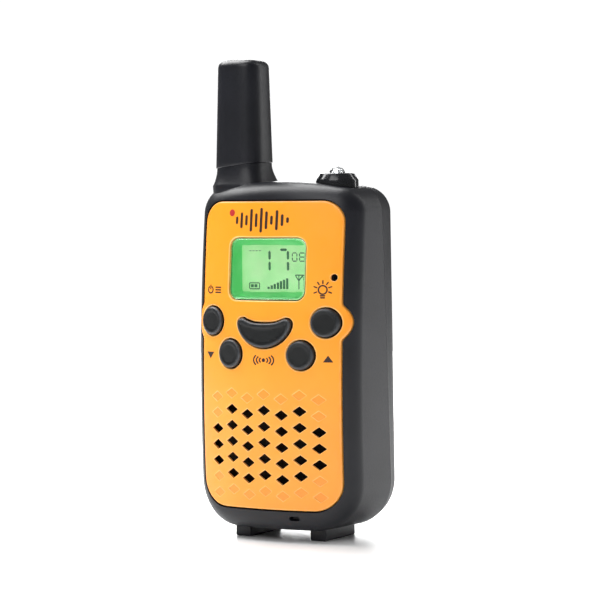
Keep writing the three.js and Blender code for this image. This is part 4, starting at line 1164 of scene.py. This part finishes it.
def stroke(path, width):
    """The outline of a line of even width with round ends."""
    points = [Vector(p) for p in path]
    ways = [(b - a).normalized() for a, b in zip(points, points[1:])]
    ways = [ways[0]] + [(a + b).normalized() for a, b in zip(ways, ways[1:])] + [ways[-1]]
    sides = [Vector((-w.y, w.x)) * width / 2 for w in ways]
    left = [tuple(p + s) for p, s in zip(points, sides)]
    right = [tuple(p - s) for p, s in zip(points, sides)]
    turn = lambda p, way, start: arc(p.x, p.y, width / 2, start, start - 180, 6)[1:]
    angle = lambda way: math.degrees(math.atan2(way.y, way.x))
    end = turn(points[-1], ways[-1], angle(ways[-1]) + 90)
    begin = turn(points[0], ways[0], angle(ways[0]) - 90)
    return left + end + right[::-1] + begin


PRINT_RISE = 0.045


def printed(shapes):
    """Ink on the plate. A shape is an outline, or an outline with a hole in it."""
    parts = []
    for shape in shapes:
        outlines = shape if isinstance(shape, tuple) else (shape,)
        outer, *inner = [(lambda m, p=p: p, [(0, -0.005), (0, -PRINT_RISE)]) for p in outlines]
        parts.append(sheet(outer, inner, step=(0.8, 0.8)))
    return joined(parts)


def ring_mark(x, z, radius, width, steps=28):
    return (arc(x, z, radius, 0, 360, steps), arc(x, z, radius - width, 0, 360, steps))


def bulb_mark(x, z):
    """A lamp with rays."""
    shapes = [ring_mark(x, z + 0.35, 1.45, 0.42)]
    for half, fall in ((0.6, 1.35), (0.5, 1.95)):
        shapes.append(stroke([(x - half, z - fall), (x + half, z - fall)], 0.4))
    for angle in (-20, 20, 55, 90, 125, 160, 200):
        c, s = math.cos(math.radians(angle)), math.sin(math.radians(angle))
        ray = [(x + r * c, z + 0.35 + r * s) for r in (1.85, 2.65)]
        shapes.append(stroke(ray, 0.38))
    return shapes


def power_mark(x, z):
    """A ring broken at its top by an upright line, beside three short lines."""
    open_ring = arc(x, z, 1.0, 125, 415, 24, 1)
    shapes = [stroke(open_ring, 0.4), stroke([(x, z + 0.25), (x, z + 1.3)], 0.4)]
    for rise in (-0.75, 0.0, 0.75):
        shapes.append(stroke([(x + 2.2, z + rise), (x + 4.2, z + rise)], 0.4))
    return shapes


def waves_mark(x, z):
    """A dot with sound spreading to both sides."""
    shapes = [arc(x, z, 0.55, 0, 360, 20)]
    for radius in (1.4, 2.4, 3.4):
        for start in (-38, 142):
            shapes.append(stroke(arc(x, z, radius, start, start + 76, 12, 1, radius * 0.62), 0.44))
    return shapes


def triangle_mark(x, z, way):
    return [[(x - 1.45, z - 0.95 * way), (x + 1.45, z - 0.95 * way), (x, z + 1.05 * way)]]


def pulse_mark(x, z):
    """A row of upright strokes, like a picture of a sound."""
    heights = (2.2, 4.6, 3.0, 6.6, 4.0, 7.2, 5.2, 2.6, 5.8, 3.4, 1.6)
    shapes = []
    for i, height in enumerate(heights):
        across, rise = x + i * 1.75, height / 2 - 0.4
        shapes.append(stroke([(across, z - rise), (across, z + rise)], 0.85))
    return shapes


key_z = round_keys["torch"][1]
low_z = round_keys["up"][1]
marks = bulb_mark(18.2, key_z + 9.2) + power_mark(-20.4, key_z + 9.2) + waves_mark(0.1, low_z - 1.6)
marks += triangle_mark(20.0, low_z - 1.0, 1) + triangle_mark(-20.0, low_z - 0.7, -1)
marks += pulse_mark(-10.6, plate_high.z - 5.6)
piece("plate_print", printed(marks), ink_dark, sharp=60)
dot = printed([arc(-12.6, plate_high.z - 3.4, 1.0, 0, 360, 28)])
piece("plate_print_dot", dot, ink_red, sharp=60)

# ---------------------------- the back


def make_door():
    """The cell door, with shallow thumb grooves near its upper end."""
    low, high = mm_box("battery_door")
    outline = rectangle(0, (low.z + high.z) / 2, high.x - low.x, high.z - low.z, 1.3)
    profile = [(0, 2.0), (0, 0.35), (-0.1, 0.12), (-0.3, 0)]
    groove = [(-0.3, 0.5), (-0.05, 0.15), (0.1, 0)]
    grooves = [
        (rectangle(0, high.z - 5 - 2.3 * i, 15 - 2.5 * i, 1.1, 0.5), groove) for i in range(4)
    ]
    return sheet((outline, profile), (), grooves, back_skin, -1, (1.0, 4.0))


piece("cell_door", make_door(), case_abs, ["battery_door"], "battery_door", 50)


def make_screw(x, z, low, high):
    """A pan-head screw with a cross recess."""
    seat = high - 1.8
    shank = [(1.1, low), (1.1, seat)]
    head = [(2.1, seat), (2.1, high - 0.7), (1.9, high - 0.35), (1.5, high - 0.12), (0.8, high)]
    bm = barrel(x, z, shank + head)
    cross = [
        brick((x - a, high - 0.9, z - b), (x + a, high + 1, z + b))
        for a, b in ((1.15, 0.24), (0.24, 1.15))
    ]
    return combine(bm, cross, "DIFFERENCE")


for i, (x, z, low, high) in enumerate(screw_places, 1):
    made = make_screw(x, z, low, high)
    piece(f"cross_screw_{i}", made, zinc, [f"case_screw_{i}"], sharp=30)


pin_hole = axle(pivot_y, pivot_z, [(1.25, -20), (1.25, 20)])


def hinge_lugs(outer, width, radius, chamfer, front, back):
    """Two round lugs on the hinge, each with the block that joins it to its part."""
    lugs = []
    for side in (-1, 1):
        a, b = sorted((side * outer, side * (outer - width)))
        block = brick((a, front, pivot_z - radius), (b, back, pivot_z + radius))
        slim = radius - chamfer
        profile = [(slim, a), (radius, a + chamfer), (radius, b - chamfer), (slim, b)]
        lugs += [block, axle(pivot_y, pivot_z, profile)]
    return lugs


def make_bracket():
    low, high = mm_box("clip_bracket")
    base = brick((low.x, low.y, low.z), (high.x, low.y + 1.4, high.z), 0.4)
    bm = combine(base, hinge_lugs(high.x, 2, 2.2, 0.3, low.y + 0.2, pivot_y), "UNION")
    return combine(bm, [pin_hole], "DIFFERENCE")


piece("clip_bracket_moulding", make_bracket(), case_abs, ["clip_bracket"])


def make_clip():
    """The sprung lever: a rounded tongue with thumb ribs above its hubs and a jaw at its foot."""
    low, high = mm_box("belt_clip")
    front, back = pivot_y + 2.8, high.y
    half = high.x
    outline = rectangle(0, (low.z + high.z) / 2, 2 * half, high.z - low.z, 3.2, 12)
    rim = [(-0.5, front), (-0.15, front + 0.15), (0, front + 0.5), (0, back - 0.7)]
    rim += [(-0.2, back - 0.25), (-0.6, back - 0.04), (-1.0, back)]
    blade = stack([upright(outline(margin), y) for margin, y in rim], (0, -1, 0))
    jaw = brick((1 - half, low.y, low.z), (half - 1, front + 1, low.z + 3), 0.5, 3)
    lugs = hinge_lugs(half - 2 - GAP, 2.6, 2.4, 0.2, pivot_y, front + 1)
    bm = combine(blade, [jaw, *lugs], "UNION")
    heights = [high.z - 3.4 - 1.7 * i for i in range(5)]
    ribs = [brick((2.5 - half, back - 0.45, z), (half - 2.5, back + 2, z + 0.75)) for z in heights]
    return combine(bm, [*ribs, pin_hole], "DIFFERENCE")


piece("clip_lever", make_clip(), case_abs, ["belt_clip"], "belt_clip")

pin_low, pin_high = mm_box("clip_pin")
pin_body = [(0.7, pin_low.x), (0.95, pin_low.x + 0.25), (0.95, pin_high.x - 0.25), (0.7, pin_high.x)]
piece("hinge_pin", axle(pivot_y, pivot_z, pin_body), zinc, ["clip_pin"])


def wire(points, radius, axis, sides=10):
    """Round wire along a path that winds round an axis: a ring carried from point to point."""
    path = [Vector(p) for p in points]
    rings = []
    for i, p in enumerate(path):
        way = (path[min(i + 1, len(path) - 1)] - path[max(i - 1, 0)]).normalized()
        side = way.cross(Vector(axis)).normalized()
        other = way.cross(side)
        rings.append([
            tuple(p + (side * math.cos(a) + other * math.sin(a)) * radius)
            for a in (2 * math.pi * k / sides for k in range(sides))
        ])
    bm = bmesh.new()
    ring = start_ring(bm, rings[0])
    bmesh.ops.contextual_create(bm, geom=ring_edges(bm, ring))
    for points_around in rings[1:]:
        ring = next_ring(bm, ring, points_around)
    bmesh.ops.contextual_create(bm, geom=ring_edges(bm, ring))
    return closed(bm)


def helix(centre, axis, length, turns, radius_at, per_turn=28):
    """Points of a coil that starts at a centre and winds along an axis."""
    axis = Vector(axis)
    side = Vector((axis.z, axis.x, axis.y))
    other = axis.cross(side)
    points = []
    for i in range(int(turns * per_turn) + 1):
        t = i / (turns * per_turn)
        a = 2 * math.pi * turns * t
        r = radius_at(t)
        out = side * r * math.cos(a) + other * r * math.sin(a)
        points.append(Vector(centre) + axis * length * t + out)
    return points


spring_low, spring_high = mm_box("clip_spring")
spring_x = (spring_low.x + 0.3, spring_high.x - 0.3)
turns = helix((spring_x[0], pivot_y, pivot_z), (1, 0, 0), spring_x[1] - spring_x[0], 6, lambda t: 1.7)
piece("hinge_spring", wire(turns, 0.3, (1, 0, 0)), zinc, ["clip_spring"], sharp=60)

# ---------------------------- inside

cell_low, cell_high = mm_box("battery_1")
foil_bands = [
    (0.0, "#b9bcc0"), (0.03, "#2f7f49"), (0.3, "#3a8f55"), (0.32, "#d8dadc"), (0.34, "#23262b"),
    (0.97, "#2b2e34"),
]
# printed shrink foil on steel: semi-gloss, in a light, a green and a dark band
cell_wrap = banded("cell_foil_printed", foil_bands, cell_low.z, cell_high.z, 0.6, 0.3)

SPRING_WIRE = 0.35  # radius
for i in range(1, 5):
    low, high = mm_box(f"battery_{i}")
    x, y, r = (low.x + high.x) / 2, (low.y + high.y) / 2, (high.x - low.x) / 2
    s_low, s_high = mm_box(f"battery_spring_{i}")
    upwards = s_low.z < low.z
    profile = [
        (r - 0.5, low.z), (r - 0.15, low.z + 0.12), (r, low.z + 0.45), (r, high.z - 1.3),
        (r - 0.2, high.z - 0.95), (r - 0.6, high.z - 0.8), (1.9, high.z - 0.8),
        (1.8, high.z - 0.1), (1.6, high.z),
    ]
    if not upwards:
        profile = [(a, low.z + high.z - z) for a, z in reversed(profile)]
    cell = lathe(x, y, profile, 56)
    piece(f"cell_{i}", cell, cell_wrap, [f"battery_{i}"], sharp=50)
    start, end = s_low.z + SPRING_WIRE, s_high.z - SPRING_WIRE
    if not upwards:
        start, end = end, start
    way = 1 if upwards else -1
    turns = helix((x, y, start), (0, 0, way), abs(end - start), 3, lambda t: 3 - 1.2 * t)
    coil = wire(turns, SPRING_WIRE, (0, 0, 1))
    piece(
        f"cell_spring_{i}", coil, nickel, [f"battery_spring_{i}"], sharp=60
    )

carried_over = {
    "circuit_board": laminate, "keypad_membrane": silicone, "lcd_connector": silicone,
    "lcd_backlight": lamp_green, "speaker_cloth": cloth, "speaker_frame": zinc, "speaker_cone": paper,
    "speaker_magnet": ferrite, "microphone": zinc, "antenna_plug": plug_nylon, "antenna_nut": zinc,
    "antenna_coil": copper,
}
for name in ("top_1", "top_2", "foot_1", "foot_2", "foot_3"):
    carried_over["contact_plate_" + name] = nickel
for name in ("power", "torch", "down", "up", "talk"):
    carried_over[name + "_contact"] = carbon
for name, finish in carried_over.items():
    node = frame["nodes"][name]
    if not node.material_slots:
        node.data.materials.append(finish)
    for each in node.material_slots:
        each.material = finish

# ---------------------------- studio, camera and sizes

FLOOR_RADIUS = 0.85
CAMERA_AT = Vector((0.3606, -0.6275, 0.1015))
AZIMUTH, ELEVATION, ROLL = math.radians(30), math.radians(2.466), math.radians(0.554)


def area_light(name, at, aim, size, power, size_y=None):
    data = bpy.data.lights.new(name, "AREA")
    data.shape, data.size, data.size_y = "RECTANGLE", size, size_y or size
    data.energy = power
    made = shown(name, data)
    made.location = at
    made.rotation_euler = (Vector(aim) - Vector(at)).to_track_quat("-Z", "Y").to_euler()


def make_studio():
    bm = bmesh.new()
    bmesh.ops.create_circle(bm, cap_ends=True, segments=96, radius=FLOOR_RADIUS)
    floor = as_object(bm, "floor")
    bm.free()
    paper_floor, tree, place = new_material("studio_paper_white")
    shade = ramp(tree, noise(tree, place, 2.5, 3.0), [(0.3, "#f4f4f4"), (0.7, "#f8f8f8")])
    away = add(tree, "VectorMath", {"Vector": place}, operation="LENGTH").outputs["Value"]
    fade = add(tree, "MapRange", {"Value": away}, From_Min=0.02, From_Max=0.25, To_Max=0.8)
    links = {"Base Color": shade, "Emission Color": shade, "Emission Strength": fade.outputs["Result"]}
    finish_material(paper_floor, tree, links, Roughness=0.35)
    floor.data.materials.append(paper_floor)

    world = bpy.data.worlds.new("studio")
    bpy.context.scene.world = world
    world.use_nodes = True
    tree = world.node_tree
    tree.nodes.clear()
    seen = add(tree, "LightPath").outputs["Is Camera Ray"]
    strength = add(tree, "MapRange", {"Value": seen}, To_Min=0.17, To_Max=1.05)
    sky = add(tree, "Background", {"Strength": strength.outputs["Result"]}, Color=(1, 1, 1, 1))
    add(tree, "OutputWorld", {"Surface": sky.outputs[0]})

    middle = (0, 0, 0.07)
    area_light("key", (0.1, -0.9, 0.8), middle, 0.8, 6.0)
    area_light("side_strip", (0.44, 0.62, 0.4), middle, 0.08, 1.3, 0.9)
    area_light("top_left", (-0.42, 0.08, 0.85), middle, 0.8, 19.0)
    area_light("back_left", (-0.45, 0.72, 0.3), middle, 0.3, 2.5, 0.4)


def make_camera():
    data = bpy.data.cameras.new("camera")
    data.lens, data.sensor_width = 144.9, 36.0
    data.shift_x, data.shift_y = 0.009, 0.0
    data.clip_start, data.clip_end = 0.01, 50
    camera = shown("camera", data)
    bpy.context.scene.camera = camera
    back = Vector((
        math.sin(AZIMUTH) * math.cos(ELEVATION),
        -math.cos(AZIMUTH) * math.cos(ELEVATION),
        math.sin(ELEVATION),
    ))
    turn = (-back).to_track_quat("-Z", "Y").to_matrix() @ Matrix.Rotation(-ROLL, 3, "Z")
    camera.matrix_world = Matrix.Translation(CAMERA_AT) @ turn.to_4x4()


make_studio()
make_camera()
bpy.context.scene.view_settings.view_transform = "Standard"

bpy.context.view_layer.update()
